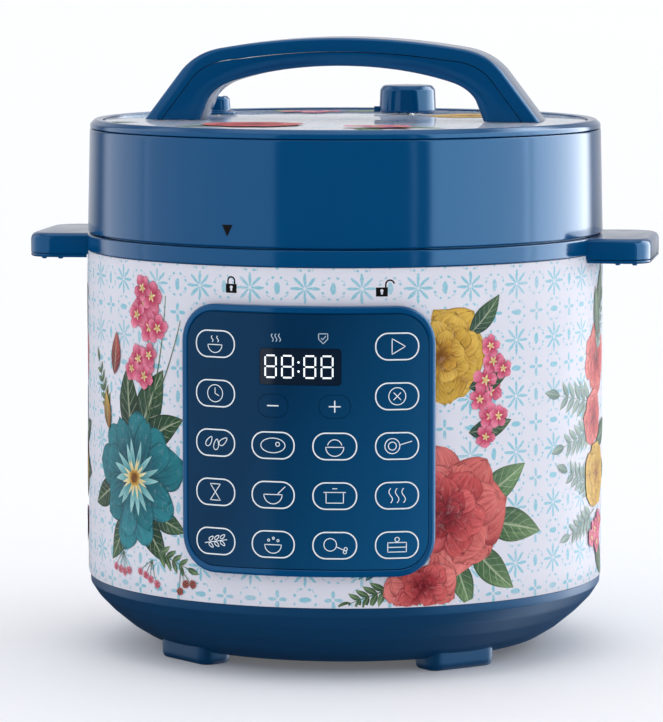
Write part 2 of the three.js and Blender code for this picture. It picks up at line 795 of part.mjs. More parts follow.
const PLATE_UNDER = PLATE_DOME - 1.5 - GAP;

add(
  "steam_pipe",
  revolveAt(VALVE_AT, [[1.5, 232], [7, 232], [7, PLATE_UNDER], [4, PLATE_UNDER], [4, 277], [1.5, 277]], 16),
  steel,
);

function blockShield() {
  const cup = revolveAt(VALVE_AT, [[0, 222], [10, 222], [10, PLATE_UNDER], [8.8, PLATE_UNDER],
    [8.8, 223.2], [0, 223.2]], 16);
  const [x, y] = VALVE_AT;
  const slots = [227, 231].flatMap((z) => [
    block([x - 14, x + 14], [y - 2.5, y + 2.5], [z - 0.7, z + 0.7]),
    block([x - 2.5, x + 2.5], [y - 14, y + 14], [z - 0.7, z + 0.7]),
  ]);
  return cut(cup, ...slots);
}

add("anti_block_shield", blockShield(), steel);
add(
  "valve_weight",
  revolveAt(VALVE_AT, [[0, 277.3], [4.4, 277.3], [4.4, 274.5], [7.9, 274.5], [7.9, 281], [6.5, 282.2], [0, 282.2]]),
  steel,
);

const KNOB_LOW = LID_TOP + 0.7;

function steamKnob() {
  const cap = revolveAt(VALVE_AT, [[8.4, KNOB_LOW], [14.6, KNOB_LOW], [15, KNOB_LOW + 1.2], [14.4, 281.6],
    [12.6, 283.9], [0, 284.4], [0, 282.6], [8.4, 282.6]], 24);
  const [x, y] = VALVE_AT;
  return join(cap, block([x - 18, x - 13], [y - 2.2, y + 2.2], [KNOB_LOW, KNOB_LOW + 3]));
}

add("steam_knob", steamKnob(), glossBlue);

// ---------------------------------------------------------------- float valve

add(
  "float_collar",
  revolveAt(FLOAT_AT, [[3.9, FOOT_Z], [10.5, FOOT_Z], [10.5, FOOT_Z + 1], [7.2, FOOT_Z + 1.8], [6.6, 277.2],
    [5.2, 278.6], [3.9, 278.6]]),
  glossBlue,
);
add(
  "float_pin",
  revolveAt(FLOAT_AT, [[0, 226.5], [3.6, 226.5], [3.6, 228.2], [2.3, 228.2], [2.3, PLATE_DOME + GAP],
    [4, PLATE_DOME + GAP], [4, PLATE_DOME + 1.5], [2.3, PLATE_DOME + 1.5], [2.3, 271], [3.4, 271],
    [3.4, 278.6], [2.6, 279.4], [0, 279.4]], 16),
  steel,
);
add(
  "float_seal",
  revolveAt(FLOAT_AT, [[2.6, 228.5], [5.2, 228.5], [4.6, 231.5], [2.6, 231.5]], 16),
  silicone,
);

export default cooker;
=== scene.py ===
"""Looks for a countertop electric pressure and rice cooker: glossy blue mouldings, a steel sleeve printed
with flowers, a curved keypad with white line signs, and the metal parts inside. Lengths are in
millimetres in the part's frame unless a name ends in _M, and MM turns them into Blender's metres."""

import random
from math import atan2, ceil, cos, hypot, pi, radians, sin, tan

import bmesh
import bpy
import numpy as np
from mathutils import Matrix, Vector


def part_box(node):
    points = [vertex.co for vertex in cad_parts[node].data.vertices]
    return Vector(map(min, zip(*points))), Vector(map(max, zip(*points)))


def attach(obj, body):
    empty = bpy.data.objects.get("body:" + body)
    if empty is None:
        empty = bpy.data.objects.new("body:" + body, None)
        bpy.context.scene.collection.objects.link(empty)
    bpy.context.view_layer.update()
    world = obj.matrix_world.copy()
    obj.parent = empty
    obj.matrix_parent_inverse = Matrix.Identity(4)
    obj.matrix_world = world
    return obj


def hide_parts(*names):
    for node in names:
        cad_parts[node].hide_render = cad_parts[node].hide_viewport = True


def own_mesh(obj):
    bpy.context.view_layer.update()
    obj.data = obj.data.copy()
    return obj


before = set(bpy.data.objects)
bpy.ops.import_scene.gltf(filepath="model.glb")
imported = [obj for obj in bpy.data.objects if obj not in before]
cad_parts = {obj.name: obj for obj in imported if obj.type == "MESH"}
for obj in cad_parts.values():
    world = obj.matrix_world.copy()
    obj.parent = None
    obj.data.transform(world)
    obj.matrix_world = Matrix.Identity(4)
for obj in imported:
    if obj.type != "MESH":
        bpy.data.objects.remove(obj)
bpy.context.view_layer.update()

MM = 0.001

# ---------------------------------------------------------------- sizes shared with the CAD, in mm


def node_box(node):
    low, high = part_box(node)
    return low / MM, high / MM


def linked(name, data):
    """A new object of the scene."""
    made = bpy.data.objects.new(name, data)
    bpy.context.collection.objects.link(made)
    return made


SLEEVE_R = node_box("outer_sleeve")[1].x
SLEEVE_LOW, SLEEVE_HIGH = node_box("outer_sleeve")[0].z, node_box("outer_sleeve")[1].z
TAB_TIP = node_box("collar_with_side_handles")[1].x
LID_TOP = node_box("lid_top_disc")[1].z
PANEL_LOW, PANEL_HIGH = node_box("keypad_frame")[0].z, node_box("keypad_frame")[1].z
KEYPAD_R = 136.6  # outside of the keypad film: lengths along the keypad's curve are measured here
PANEL_WIDTH = 130.4
PANEL_CORNER = 19
PANEL_Z = (PANEL_LOW + PANEL_HIGH) / 2
PANEL_HEIGHT = PANEL_HIGH - PANEL_LOW
KEY_PITCH_S = 30.4
VALVE_AT = (21.4, 80)
FLOAT_AT = (-76.8, 56.3)

# ---------------------------------------------------------------- shader nodes


class Term:
    """A value in a node tree that takes part in arithmetic: each operation adds one Math node."""

    def __init__(self, nodes, socket):
        self.nodes, self.socket = nodes, socket

    def math(self, operation, *others, clamp=False):
        node = self.nodes.new("Math")
        node.operation, node.use_clamp = operation, clamp
        for place, value in zip(node.inputs, (self, *others)):
            self.nodes.put(value, place)
        return Term(self.nodes, node.outputs[0])

    def __add__(self, other):
        return self.math("ADD", other)

    def __sub__(self, other):
        return self.math("SUBTRACT", other)

    def __mul__(self, other):
        return self.math("MULTIPLY", other)

    def __truediv__(self, other):
        return self.math("DIVIDE", other)

    def absolute(self):
        return self.math("ABSOLUTE")

    def between(self, low, high):
        """0 at low and 1 at high, with a smooth rise or fall."""
        node = self.nodes.new("MapRange", Value=self, From_Min=low, From_Max=high)
        node.interpolation_type = "SMOOTHSTEP"
        return Term(self.nodes, node.outputs["Result"])

    def wrapped(self, period):
        """Repeats the value from -period / 2 to period / 2."""
        return self.math("WRAP", period / 2, -period / 2)


class Nodes:
    """Short ways to add nodes to one tree, and to feed its Principled shader."""

    def __init__(self, tree):
        self.tree = tree
        self.shader = tree.nodes.get("Principled BSDF")

    def new(self, kind, **inputs):
        node = self.tree.nodes.new("ShaderNode" + kind)
        for name, value in inputs.items():
            self.put(value, node.inputs[name.replace("_", " ")])
        return node

    def put(self, value, place):
        """Gives an input a term, another node's output or a constant."""
        if isinstance(value, Term):
            value = value.socket
        if isinstance(value, bpy.types.NodeSocket):
            self.tree.links.new(value, place)
        else:
            place.default_value = value

    def point(self):
        return self.new("TexCoord").outputs["Object"]

    def position(self, kind="Object"):
        """The x, y and z of a point of the piece, in metres."""
        split = self.new("SeparateXYZ", Vector=self.new("TexCoord").outputs[kind])
        return [Term(self, socket) for socket in split.outputs]

    def vector(self, x=0.0, y=0.0, z=0.0):
        return self.new("CombineXYZ", X=x, Y=y, Z=z).outputs[0]

    def noise(self, vector, scale, detail=2.0, roughness=0.5):
        made = self.new("TexNoise", Vector=vector, Scale=scale, Detail=detail, Roughness=roughness)
        return Term(self, made.outputs["Fac"])

    def mix(self, factor, one, other, blend="MIX"):
        node = self.new("Mix")
        node.data_type, node.blend_type = "RGBA", blend
        self.put(factor, node.inputs["Factor"])
        for name, value in (("A", one), ("B", other)):
            place = next(s for s in node.inputs if s.name == name and s.type == "RGBA")
            self.put((*value, 1) if isinstance(value, tuple) else value, place)
        return next(s for s in node.outputs if s.type == "RGBA")

    def colour(self, value):
        self.put(value, self.shader.inputs["Base Color"])

    def rough(self, factor, low, high):
        """Roughness that goes from low to high with the factor."""
        made = self.new("MapRange", Value=factor, To_Min=low, To_Max=high)
        self.put(made.outputs["Result"], self.shader.inputs["Roughness"])

    def bump(self, height, strength, distance):
        made = self.new("Bump", Height=height, Strength=strength, Distance=distance)
        self.put(made.outputs["Normal"], self.shader.inputs["Normal"])


def distance(a, b):
    return (a * a + b * b).math("SQRT")


def linear(red, green, blue):
    """A colour given as 0 to 255 sRGB values, in the linear values that shaders take."""

    def one(value):
        value /= 255
        return value / 12.92 if value <= 0.04045 else ((value + 0.055) / 1.055) ** 2.4

    return one(red), one(green), one(blue)


def material(name, **fixed):
    """A Principled material and its nodes. fixed are the shader's constant inputs."""
    made = bpy.data.materials.new(name)
    made.use_nodes = True
    nodes = Nodes(made.node_tree)
    for key, value in fixed.items():
        place = nodes.shader.inputs[key.replace("_", " ")]
        place.default_value = (*value, 1) if isinstance(value, tuple) else value
    return made, nodes


def grained(name, colour, rough=None, relief=None, **fixed):
    """A material from three noises, each given by its scale and detail: colour between two, roughness between
    two values, and a bump with its strength and distance."""
    made, nodes = material(name, **fixed)
    point = nodes.point()
    nodes.colour(nodes.mix(nodes.noise(point, *colour[:2]), *colour[2:]))
    if rough:
        nodes.rough(nodes.noise(point, *rough[:2]), *rough[2:])
    if relief:
        nodes.bump(nodes.noise(point, *relief[:2]), *relief[2:])
    return made


# ---------------------------------------------------------------- camera, light and floor

CAMERA_AZIMUTH = radians(8.5)
CAMERA_AWAY_M, CAMERA_HIGH_M = 2.183, 0.370
LOOK_AT_M = (-0.0070, -0.0010, 0.145)
LENS, SENSOR = 212.6, 36


def aimed(name, data, at, towards):
    """A camera or a light that looks at a point, both in metres."""
    made = linked(name, data)
    made.location = at
    made.rotation_euler = (Vector(towards) - made.location).to_track_quat("-Z", "Y").to_euler()
    return made


def make_camera():
    data = bpy.data.cameras.new("camera")
    data.lens, data.sensor_width = LENS, SENSOR
    at = (sin(CAMERA_AZIMUTH) * CAMERA_AWAY_M, -cos(CAMERA_AZIMUTH) * CAMERA_AWAY_M, CAMERA_HIGH_M)
    bpy.context.scene.camera = aimed("camera", data, at, LOOK_AT_M)


make_camera()


STUDIO_PALE = (0.95, 0.965, 1.0)
SKY_LEVEL, SKY_RISE = 0.52, 0.6
FLOOR_REACH_M = 80.0


def make_world():
    """Pale all round to the camera, and a soft sky to diffuse light. Glossy surfaces mirror a studio: a dim
    soft box to the left, a bright one to the right, a thin strip between them, and pale walls behind."""
    world = bpy.data.worlds.new("studio")
    bpy.context.scene.world = world
    world.use_nodes = True
    world.cycles.sampling_method = "NONE"  # so that diffuse light comes from the soft sky alone
    tree = world.node_tree
    tree.nodes.clear()
    nodes = Nodes(tree)
    x, y, z = nodes.position("Generated")
    azimuth = x.math("ARCTAN2", y * -1) * (180 / pi)
    height = z.math("ARCSINE") * (180 / pi)

    def box(west, east, soft=1.5, low=-16, high=50):
        sides = azimuth.between(west - soft, west + soft) * azimuth.between(east + soft, east - soft)
        return sides * height.between(low - 8, low + 8) * height.between(high + 8, high - 8)

    left = box(-92, -22.5) * 1.35 + box(-128, -92, 6) * 1.6
    right = box(46.5, 98) * 4.6 + box(98, 148, 6) * 7.0 + box(112, 148, 8, -55, -20) * 2.5
    strip = box(37.6, 40.2, 0.8) * 1.2
    behind = azimuth.absolute().between(128, 150) * height.between(-14, -2) * 0.6
    overhead = height.between(50, 68) * 1.6
    mirrored = left + right + strip + behind + overhead + z.between(-0.4, 0.0) * 0.11 + 0.03
    sky = z.between(-0.2, 1.0) * SKY_RISE + SKY_LEVEL
    rays = nodes.new("LightPath")
    diffuse = Term(nodes, rays.outputs["Is Diffuse Ray"])
    strength = diffuse * sky + (diffuse * -1 + 1) * mirrored
    studio = nodes.new("Background", Color=(*STUDIO_PALE, 1), Strength=strength)
    pale = nodes.new("Background", Color=(*STUDIO_PALE, 1), Strength=1.0)
    both = nodes.new("MixShader", Fac=rays.outputs["Is Camera Ray"])
    tree.links.new(studio.outputs[0], both.inputs[1])
    tree.links.new(pale.outputs[0], both.inputs[2])
    tree.links.new(both.outputs[0], tree.nodes.new("ShaderNodeOutputWorld").inputs["Surface"])


def area_light(name, at, size, watts):
    data = bpy.data.lights.new(name, "AREA")
    data.shape, data.size, data.size_y, data.energy = "RECTANGLE", size[0], size[1], watts
    aimed(name, data, at, (0, 0, 0.15)).visible_glossy = False


def make_floor():
    mesh = bpy.data.meshes.new("floor")
    corners = [(x * FLOOR_REACH_M, y * FLOOR_REACH_M, 0) for x, y in ((-1, -1), (1, -1), (1, 1), (-1, 1))]
    mesh.from_pydata(corners, [], [(0, 1, 2, 3)])
    mesh.materials.append(grained("floor_paper", (30.0, 2.0, (0.86, 0.865, 0.88), (0.88, 0.885, 0.90)),
                                  Roughness=0.7, Emission_Color=(0.95, 0.96, 1.0), Emission_Strength=0.1))
    floor = linked("floor", mesh)
    floor.visible_glossy = False


bpy.context.scene.view_settings.view_transform = "Standard"
make_world()
area_light("key_right", (1.9, -1.6, 1.5), (1.2, 1.6), 1.6)
area_light("overhead", (0.0, -0.2, 2.2), (1.8, 1.8), 1.5)
make_floor()

# ---------------------------------------------------------------- materials


def moulded(name, dark, light, rough, wave=0.06, grain=0.0, **fixed):
    """Moulded plastic, with either faint flow waves or a fine grain."""
    relief = (2600.0, 2.0, grain, 0.0001) if grain else (34.0, 1.0, wave, 0.0004)
    return grained(name, (24.0, 3.0, dark, light), (60.0, 4.0, rough * 0.85, rough * 1.2), relief, **fixed)


SHINE = (0.34, 0.66, 1.0)  # the blue mouldings give back bluish light
gloss_blue = moulded("gloss_blue_plastic", linear(0, 66, 112), linear(0, 72, 121), 0.10, Specular_Tint=SHINE)
satin_blue = moulded("satin_blue_plastic", linear(6, 55, 92), linear(8, 60, 99), 0.38, grain=0.12,
                     Specular_Tint=SHINE, Specular_IOR_Level=0.3)
black_plastic = moulded("black_plastic", (0.012, 0.013, 0.015), (0.02, 0.021, 0.024), 0.5, grain=0.25)
window_black = moulded("tinted_window", (0.003, 0.011, 0.026), (0.005, 0.015, 0.034), 0.07, wave=0.02,
                       Specular_IOR_Level=0.2)
mark_black = moulded("black_ink", (0.003, 0.003, 0.004), (0.006, 0.006, 0.008), 0.5, wave=0.02,
                     Specular_IOR_Level=0.08)
silicone = moulded("silicone", (0.62, 0.66, 0.67), (0.7, 0.73, 0.74), 0.5, wave=0.1, Transmission_Weight=0.25)
white_ink = moulded("white_ink", (0.80, 0.86, 0.90), (0.88, 0.93, 0.97), 0.3, wave=0.02)
indicator_ink = moulded("pale_ink", (0.45, 0.55, 0.66), (0.5, 0.6, 0.7), 0.3, wave=0.02)
digit_white = grained("lit_digits", (900.0, 2.0, (0.75, 0.8, 0.84), (0.9, 0.94, 0.97)),
                      Emission_Color=(0.9, 0.97, 1.0), Emission_Strength=0.55)
clear = grained("clear_plastic", (40.0, 2.0, (0.86, 0.9, 0.92), (0.92, 0.95, 0.96)), (200.0, 2.0, 0.08, 0.16),
                Transmission_Weight=0.85, IOR=1.49)


def panel_film():
    """The keypad's printed film: dark blue, with a painted highlight that makes it a little lighter towards
    its lower right corner, where the bright soft box on the right lights it.
    """
    made, nodes = material("keypad_film", Roughness=0.16, Specular_IOR_Level=0.14,
                           Specular_Tint=(0.5, 0.75, 1.0))
    x, _, z = nodes.position()
    # painted highlight: the film is lighter towards the right and lower down, in place of the right soft
    # box's light
    painted_sheen = (x * 6 - z * 3 + 0.5).math("ADD", 0.0, clamp=True)
    cloud = nodes.noise(nodes.point(), 14.0)
    sheen_tone = nodes.mix(painted_sheen, linear(5, 44, 76), linear(20, 94, 144))
    nodes.colour(nodes.mix(cloud * 0.2, sheen_tone, linear(8, 80, 125)))
    return made


def turned_metal(name, dark, light, rough):
    """Metal with fine turning lines that run round the piece's axis."""
    made, nodes = material(name, Metallic=1.0)
    x, y, z = nodes.position()
    reach = distance(x, y)
    lines = nodes.noise(nodes.vector(x.math("ARCTAN2", y) * 0.6, reach * 900, z * 900), 1.0, 3.0, 0.7)
    nodes.colour(nodes.mix(lines, dark, light))
    nodes.rough(lines, rough * 0.75, rough * 1.3)
    nodes.bump(lines, 0.12, 0.00005)
    return made


steel = turned_metal("brushed_steel", (0.52, 0.53, 0.54), (0.72, 0.73, 0.74), 0.26)
aluminium = turned_metal("cast_aluminium", (0.42, 0.42, 0.43), (0.58, 0.58, 0.59), 0.42)


def nonstick_coat():
    made, nodes = material("nonstick_coat", Coat_Weight=0.2, Coat_Roughness=0.25)
    point = nodes.point()
    specks = nodes.noise(point, 1900.0, 1.0)
    nodes.colour(nodes.mix(specks.between(0.62, 0.7), (0.022, 0.023, 0.026), (0.16, 0.165, 0.17)))
    nodes.rough(nodes.noise(point, 300.0), 0.34, 0.46)
    nodes.bump(specks, 0.1, 0.00005)
    return made


def circuit_board():
    made, nodes = material("circuit_board", Coat_Weight=0.4)
    point = nodes.point()
    cells = nodes.new("TexVoronoi", Vector=point, Scale=260.0)
    tracks = Term(nodes, cells.outputs["Distance"]).between(0.30, 0.34)
    nodes.colour(nodes.mix(tracks, (0.02, 0.11, 0.05), (0.035, 0.17, 0.08)))
    nodes.rough(nodes.noise(point, 90.0), 0.3, 0.5)
    return made


def lattice(across, up, cell):
    """How much pale blue ink lies at a point: eight-petalled stars on a diagonal grid, with dashes between
    them. across and up are in mm."""

    def star(u, v, reach, petals, thin):
        far = distance(u, v)
        turn = v.math("ARCTAN2", u)
        beat = (turn * petals).math("COSINE").absolute()
        edge = beat.math("POWER", thin) * reach
        drop = (far - edge).between(0.35, -0.35)
        return drop * far.between(0.5, 1.1)

    def at(u0, v0):
        return (across + u0).wrapped(cell), (up + v0).wrapped(cell)

    u, v = at(0, 0)
    big = star(u, v, cell * 0.27, 4, 2.0)
    u2, v2 = at(cell / 2, cell / 2)
    small = star(u2, v2, cell * 0.17, 2, 2.2)
    dots = []
    for du, dv in ((cell / 2, 0), (0, cell / 2)):
        a, b = at(du, dv)
        stretch = (1.0, 0.45) if du else (0.45, 1.0)
        far = distance(a / stretch[1], b / stretch[0])
        dots.append((far - cell * 0.11).between(0.4, -0.4))
        ring = (distance(a, b) - cell * 0.2).absolute()
        beads = (b.math("ARCTAN2", a) * 4).math("SINE").absolute().between(0.8, 0.95)
        dots.append(ring.between(0.75, 0.35) * beads)
    far = distance(u, v)
    halo = (v.math("ARCTAN2", u) * 4 + pi / 2).math("SINE").absolute().between(0.1, 0.03)
    dots.append((far - cell * 0.36).absolute().between(1.3, 0.7) * halo)
    total = big + small
    for dot in dots:
        total = total + dot
    return total.math("MINIMUM", 1.0)


PAPER_DARK, PAPER_LIGHT = linear(219, 219, 230), linear(230, 229, 238)
AQUA = linear(136, 196, 212)
LATTICE_CELL = 2 * pi * SLEEVE_R / 30


def printed_ground(name, flat):
    """Lacquered white with a pale blue stencil lattice, on the sleeve's curve or flat on the lid."""
    made, nodes = material(name, Specular_IOR_Level=0.14)
    if flat:
        nodes.shader.inputs["Coat Weight"].default_value = 0.8
    x, y, z = nodes.position()
    if flat:
        across, up = x / MM, y / MM
    else:
        across, up = x.math("ARCTAN2", y * -1) * SLEEVE_R, z / MM
    point = nodes.vector(across, up)
    wobble = (nodes.noise(point, 0.35, 2.0) - 0.5) * 1.3
    ink = lattice(across + wobble, up + wobble * -0.8, LATTICE_CELL)
    patchy = nodes.noise(point, 0.9, 3.0, 0.6).between(0.28, 0.62)
    faded = nodes.noise(point, 0.035, 1.0).between(0.3, 0.62)
    paper = nodes.mix(nodes.noise(point, 0.05, 3.0), PAPER_DARK, PAPER_LIGHT)
    amount = ink * (patchy * 0.45 + 0.6) * (faded * 0.3 + 0.75)
    nodes.colour(nodes.mix(amount, paper, AQUA))
    nodes.rough(nodes.noise(point, 0.4, 3.0), 0.36, 0.5)
    return made


def painted(name, leaf):
    """Paint for the printed flowers and leaves. Each stroke stores how far along and across itself a point
    is, and its two colours, and the paint adds brush streaks, a darker edge, and a leaf's veins."""
    made, nodes = material(name, Specular_IOR_Level=0.14)
    near = nodes.new("Attribute")
    near.attribute_name = "near_colour"
    far = nodes.new("Attribute")
    far.attribute_name = "far_colour"
    place = nodes.new("UVMap")
    place.uv_map = "stroke"
    split = nodes.new("SeparateXYZ", Vector=place.outputs[0])
    along, across = Term(nodes, split.outputs[0]), Term(nodes, split.outputs[1]) * 2 - 1
    x, y, z = nodes.position()
    shift = (x + y + z) * 40
    streaks = nodes.noise(nodes.vector(along * 1.6, across * 7, shift), 1.0, 4.0, 0.65)
    blots = nodes.noise(nodes.point(), 420.0, 2.0)
    mixed = (along * 1.05 + (streaks - 0.5) * 1.7 - 0.16).between(0.0, 1.0)
    colour = nodes.mix(mixed, near.outputs["Color"], far.outputs["Color"])
    side = across.absolute()
    if leaf:
        rib = side.between(0.11, 0.04)
        comb = ((along * 7) - side * 1.6).math("FRACT").between(0.16, 0.04) * side.between(0.98, 0.7)
        light = (rib + comb * 0.7).math("MINIMUM", 1.0)
        colour = nodes.mix(light * 0.7, colour, nodes.mix(0.65, colour, (0.72, 0.80, 0.55)))
        half = across.between(-0.05, 0.05)
        colour = nodes.mix(half * 0.3, colour, (0.02, 0.06, 0.035))
    edge = side.between(0.84, 0.99).math("MAXIMUM", along.between(0.93, 1.0)) * 0.62
    shade = nodes.mix(1.0, colour, (0.35, 0.28, 0.3), "MULTIPLY")
    colour = nodes.mix(edge, colour, shade)
    colour = nodes.mix(blots.between(0.55, 0.75) * 0.07, colour, (0.9, 0.88, 0.86))
    nodes.colour(colour)
    nodes.rough(streaks, 0.36, 0.5)
    return made


sleeve_print = printed_ground("printed_sleeve", flat=False)
disc_print = printed_ground("printed_disc", flat=True)
petal_paint = painted("petal_paint", leaf=False)
leaf_paint = painted("leaf_paint", leaf=True)
keypad_blue = panel_film()
nonstick = nonstick_coat()
board_green = circuit_board()

# ---------------------------------------------------------------- mesh helpers


def piece(name, mesh, body, paint, replaced=(), sharp=38):
    """Links a mesh given in mm as a piece of the object. Its edges are sharp from an angle in degrees."""
    mesh.name = name
    mesh.transform(Matrix.Scale(MM, 4))
    mesh.polygons.foreach_set("use_smooth", [True] * len(mesh.polygons))
    mesh.set_sharp_from_angle(angle=radians(sharp))
    mesh.materials.append(paint)
    made = linked(name, mesh)
    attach(made, body)
    if replaced:
        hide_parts(*replaced)
    return made


def bmesh_of(*meshes):
    shape = bmesh.new()
    for mesh in meshes:
        shape.from_mesh(mesh)
    return shape


def finished(shape, mesh=None):
    """Writes a bmesh to a mesh, a new one unless it is given, and frees it."""
    mesh = mesh or bpy.data.meshes.new("mesh")
    shape.to_mesh(mesh)
    shape.free()
    return mesh


def mesh_of(points, faces):
    mesh = bpy.data.meshes.new("mesh")
    mesh.from_pydata([tuple(p) for p in points], [], faces)
    shape = bmesh_of(mesh)
    bmesh.ops.remove_doubles(shape, verts=shape.verts, dist=1e-4)
    bmesh.ops.dissolve_degenerate(shape, edges=shape.edges, dist=1e-5)
    bmesh.ops.recalc_face_normals(shape, faces=shape.faces)
    return finished(shape, mesh)


def joined(*meshes):
    """One mesh from several."""
    return finished(bmesh_of(*meshes))


def bend(start, middle, end, t):
    """A point of the curve from start to end that leaves and arrives along the lines to middle."""
    return start * (1 - t) ** 2 + middle * (2 * t * (1 - t)) + end * t * t


def rounded(corners, radius, steps=4):
    """A closed outline with rounded corners. A corner's third value is its own radius."""
    outline = []
    count = len(corners)
    for i, corner in enumerate(corners):
        at = Vector(corner[:2])
        own = corner[2] if len(corner) > 2 else radius
        before = Vector(corners[i - 1][:2]) - at
        after = Vector(corners[(i + 1) % count][:2]) - at
        half = before.angle(after) / 2
        if own <= 0 or half > radians(88):
            outline.append(at)
            continue
        reach = min(own / tan(half), 0.48 * before.length, 0.48 * after.length)
        start, end = at + before.normalized() * reach, at + after.normalized() * reach
        outline += [bend(start, at, end, k / steps) for k in range(steps + 1)]
    return outline


def skin(rings, looped=True):
    """Faces over rings of equally many points. The last ring joins the first, or both ends are capped."""
    around = len(rings[0])
    points = [p for ring in rings for p in ring]
    faces = []
    for i in range(len(rings) if looped else len(rings) - 1):
        k = (i + 1) % len(rings)
        for j in range(around):
            n = (j + 1) % around
            faces.append((i * around + j, i * around + n, k * around + n, k * around + j))
    if not looped:
        faces += [tuple(range(around)), tuple(range(len(points) - around, len(points)))]
    return mesh_of(points, faces)


def capped(rings):
    return skin(rings, looped=False)


def all_round(count):
    """Evenly spaced angles all round."""
    return [2 * pi * i / count for i in range(count)]


def around_axis(angle, radius, z, middle=(0, 0)):
    """The point at an angle from the front."""
    return middle[0] + radius * sin(angle), middle[1] - radius * cos(angle), z


def turned(profile, at=(0, 0), steps=192):
    """A closed [radius, height] profile turned round an upright axis."""
    return skin([[around_axis(a, r, z, at) for r, z in profile] for a in all_round(steps)])


def on_keypad(s, z, radius):
    return around_axis(s / KEYPAD_R, radius, z)


def round_rect(width, height, corner, step=2.0, turn_steps=8):
    """A rectangle with round corners about the origin, with points all along its sides."""
    outline = []
    w, h = width / 2 - corner, height / 2 - corner
    for k, (x, y) in enumerate(((w, -h), (w, h), (-w, h), (-w, -h))):
        for i in range(turn_steps + 1):
            a = (k - 1 + i / turn_steps) * pi / 2
            outline.append((x + corner * cos(a), y + corner * sin(a)))
        a = k * pi / 2
        length = 2 * (h, w)[k % 2]
        x, y = outline[-1]
        pieces = max(1, ceil(length / step))
        for i in range(1, pieces):
            reach = length * i / pieces
            outline.append((x - reach * sin(a), y + reach * cos(a)))
    return outline


def upright(at, radius, low, high, sides=24, edge=0.3):
    """A post or peg with softened ends."""
    levels = ((low, edge), (low + edge, 0), (high - edge, 0), (high, edge))
    return capped([[around_axis(a, radius - inset, z, at) for a in all_round(sides)] for z, inset in levels])


def sector(inner, outer, low, high, middle, width):
    """A piece of a ring, centred at an angle from the front, both angles in degrees."""
    section = rounded([(inner, low), (outer, low), (outer, high), (inner, high)], 0.3, 2)
    steps = max(2, ceil(width / 2))
    angles = [radians(middle - width / 2 + width * i / steps) for i in range(steps + 1)]
    return capped([[around_axis(a, r, z) for r, z in section] for a in angles])


def bored(mesh, cutter):
    """The mesh less another mesh."""
    objects = [linked("cut", one) for one in (mesh, cutter)]
    step = objects[0].modifiers.new("cut", "BOOLEAN")
    step.object, step.operation, step.solver = objects[1], "DIFFERENCE", "EXACT"
    graph = bpy.context.evaluated_depsgraph_get()
    left = bpy.data.meshes.new_from_object(objects[0].evaluated_get(graph))
    for one in objects:
        bpy.data.objects.remove(one)
    return left


def bent(shape, radius, reference, step):
    """Wraps a flat bmesh round the body: x becomes the distance along the curve, y the height and z how far
    it stands proud of radius. Lengths along the curve are measured at the reference radius."""
    low, high = min(v.co.x for v in shape.verts), max(v.co.x for v in shape.verts)
    for k in range(ceil(low / step), ceil(high / step)):
        everything = shape.verts[:] + shape.edges[:] + shape.faces[:]
        bmesh.ops.bisect_plane(shape, geom=everything, plane_co=(k * step, 0, 0), plane_no=(1, 0, 0),
                               dist=1e-5)
    bmesh.ops.remove_doubles(shape, verts=shape.verts, dist=1e-5)
    for v in shape.verts:
        v.co = around_axis(v.co.x / reference, radius + v.co.z, v.co.y)
    bmesh.ops.recalc_face_normals(shape, faces=shape.faces)
    return finished(shape)


def curve_mesh(outlines, closed, **settings):
    """A flat bmesh from polylines: a filled sheet, or round lines where bevel_depth is set."""
    curve = bpy.data.curves.new("outline", "CURVE")
    for key, value in settings.items():
        setattr(curve, key, value)
    for outline, cyclic in zip(outlines, closed):
        spline = curve.splines.new("POLY")
        spline.points.add(len(outline) - 1)
        spline.points.foreach_set("co", [c for x, y in outline for c in (x, y, 0, 1)])
        spline.use_cyclic_u = cyclic
    holder = linked("outline", curve)
    graph = bpy.context.evaluated_depsgraph_get()
    mesh = bpy.data.meshes.new_from_object(holder.evaluated_get(graph))
    bpy.data.objects.remove(holder)
    shape = bmesh_of(mesh)
    bmesh.ops.remove_doubles(shape, verts=shape.verts, dist=1e-5)
    return shape


def sheet(outlines, low, high, reference=KEYPAD_R):
    """A sheet wrapped on the body between two radii. Outlines inside the first are holes."""
    shape = curve_mesh(outlines, [True] * len(outlines), dimensions="2D", fill_mode="BOTH",
                       extrude=(high - low) / 2)
    return bent(shape, (low + high) / 2, reference, 2.5)


def finely(points, closed, step=1.2):
    """A polyline with more points, so that it can follow the body's curve."""
    ends = [*points[1:], points[0]] if closed else points[1:]
    fine = []
    for (x0, y0), (x1, y1) in zip(points, ends):
        count = max(1, ceil(hypot(x1 - x0, y1 - y0) / step))
        fine += [(x0 + (x1 - x0) * i / count, y0 + (y1 - y0) * i / count) for i in range(count)]
    return fine if closed else [*fine, points[-1]]


INK_RELIEF = 0.03


def ink(strokes, width, radius, reference=KEYPAD_R):
    """Printed lines on the body. Each stroke is (points, closed)."""
    shape = curve_mesh([finely(*stroke) for stroke in strokes], [closed for _, closed in strokes],
                       dimensions="3D", fill_mode="FULL", bevel_depth=width / 2, bevel_resolution=1,
                       use_fill_caps=True)
    for v in shape.verts:
        v.co.z *= 2 * INK_RELIEF / width
    return bent(shape, radius, reference, 1e3)


def moved(points, dx, dy):
    return [(x + dx, y + dy) for x, y in points]


def strokes_at(strokes, dx, dy):
    return [(moved(points, dx, dy), closed) for points, closed in strokes]


# ---------------------------------------------------------------- base, feet and sleeve

base_bowl = rounded(
    [(80.5, 5.5, 0.3), (100.5, 5.5, 12), (111, 12, 16), (120.6, 20, 16), (127.4, 27, 12), (131.2, 33, 1.2),
     (131.4, 37.2, 0.5), (130.9, 37.2, 0.1), (130.9, 46, 0.3), (129.2, 46, 0.3), (129, 34.6, 6),
     (118.4, 21.6, 12), (99.5, 8, 8), (80.5, 8, 0.3)],
    0.4,
)
piece("base_bowl", turned(base_bowl), "base", satin_blue, ["base_shell"])

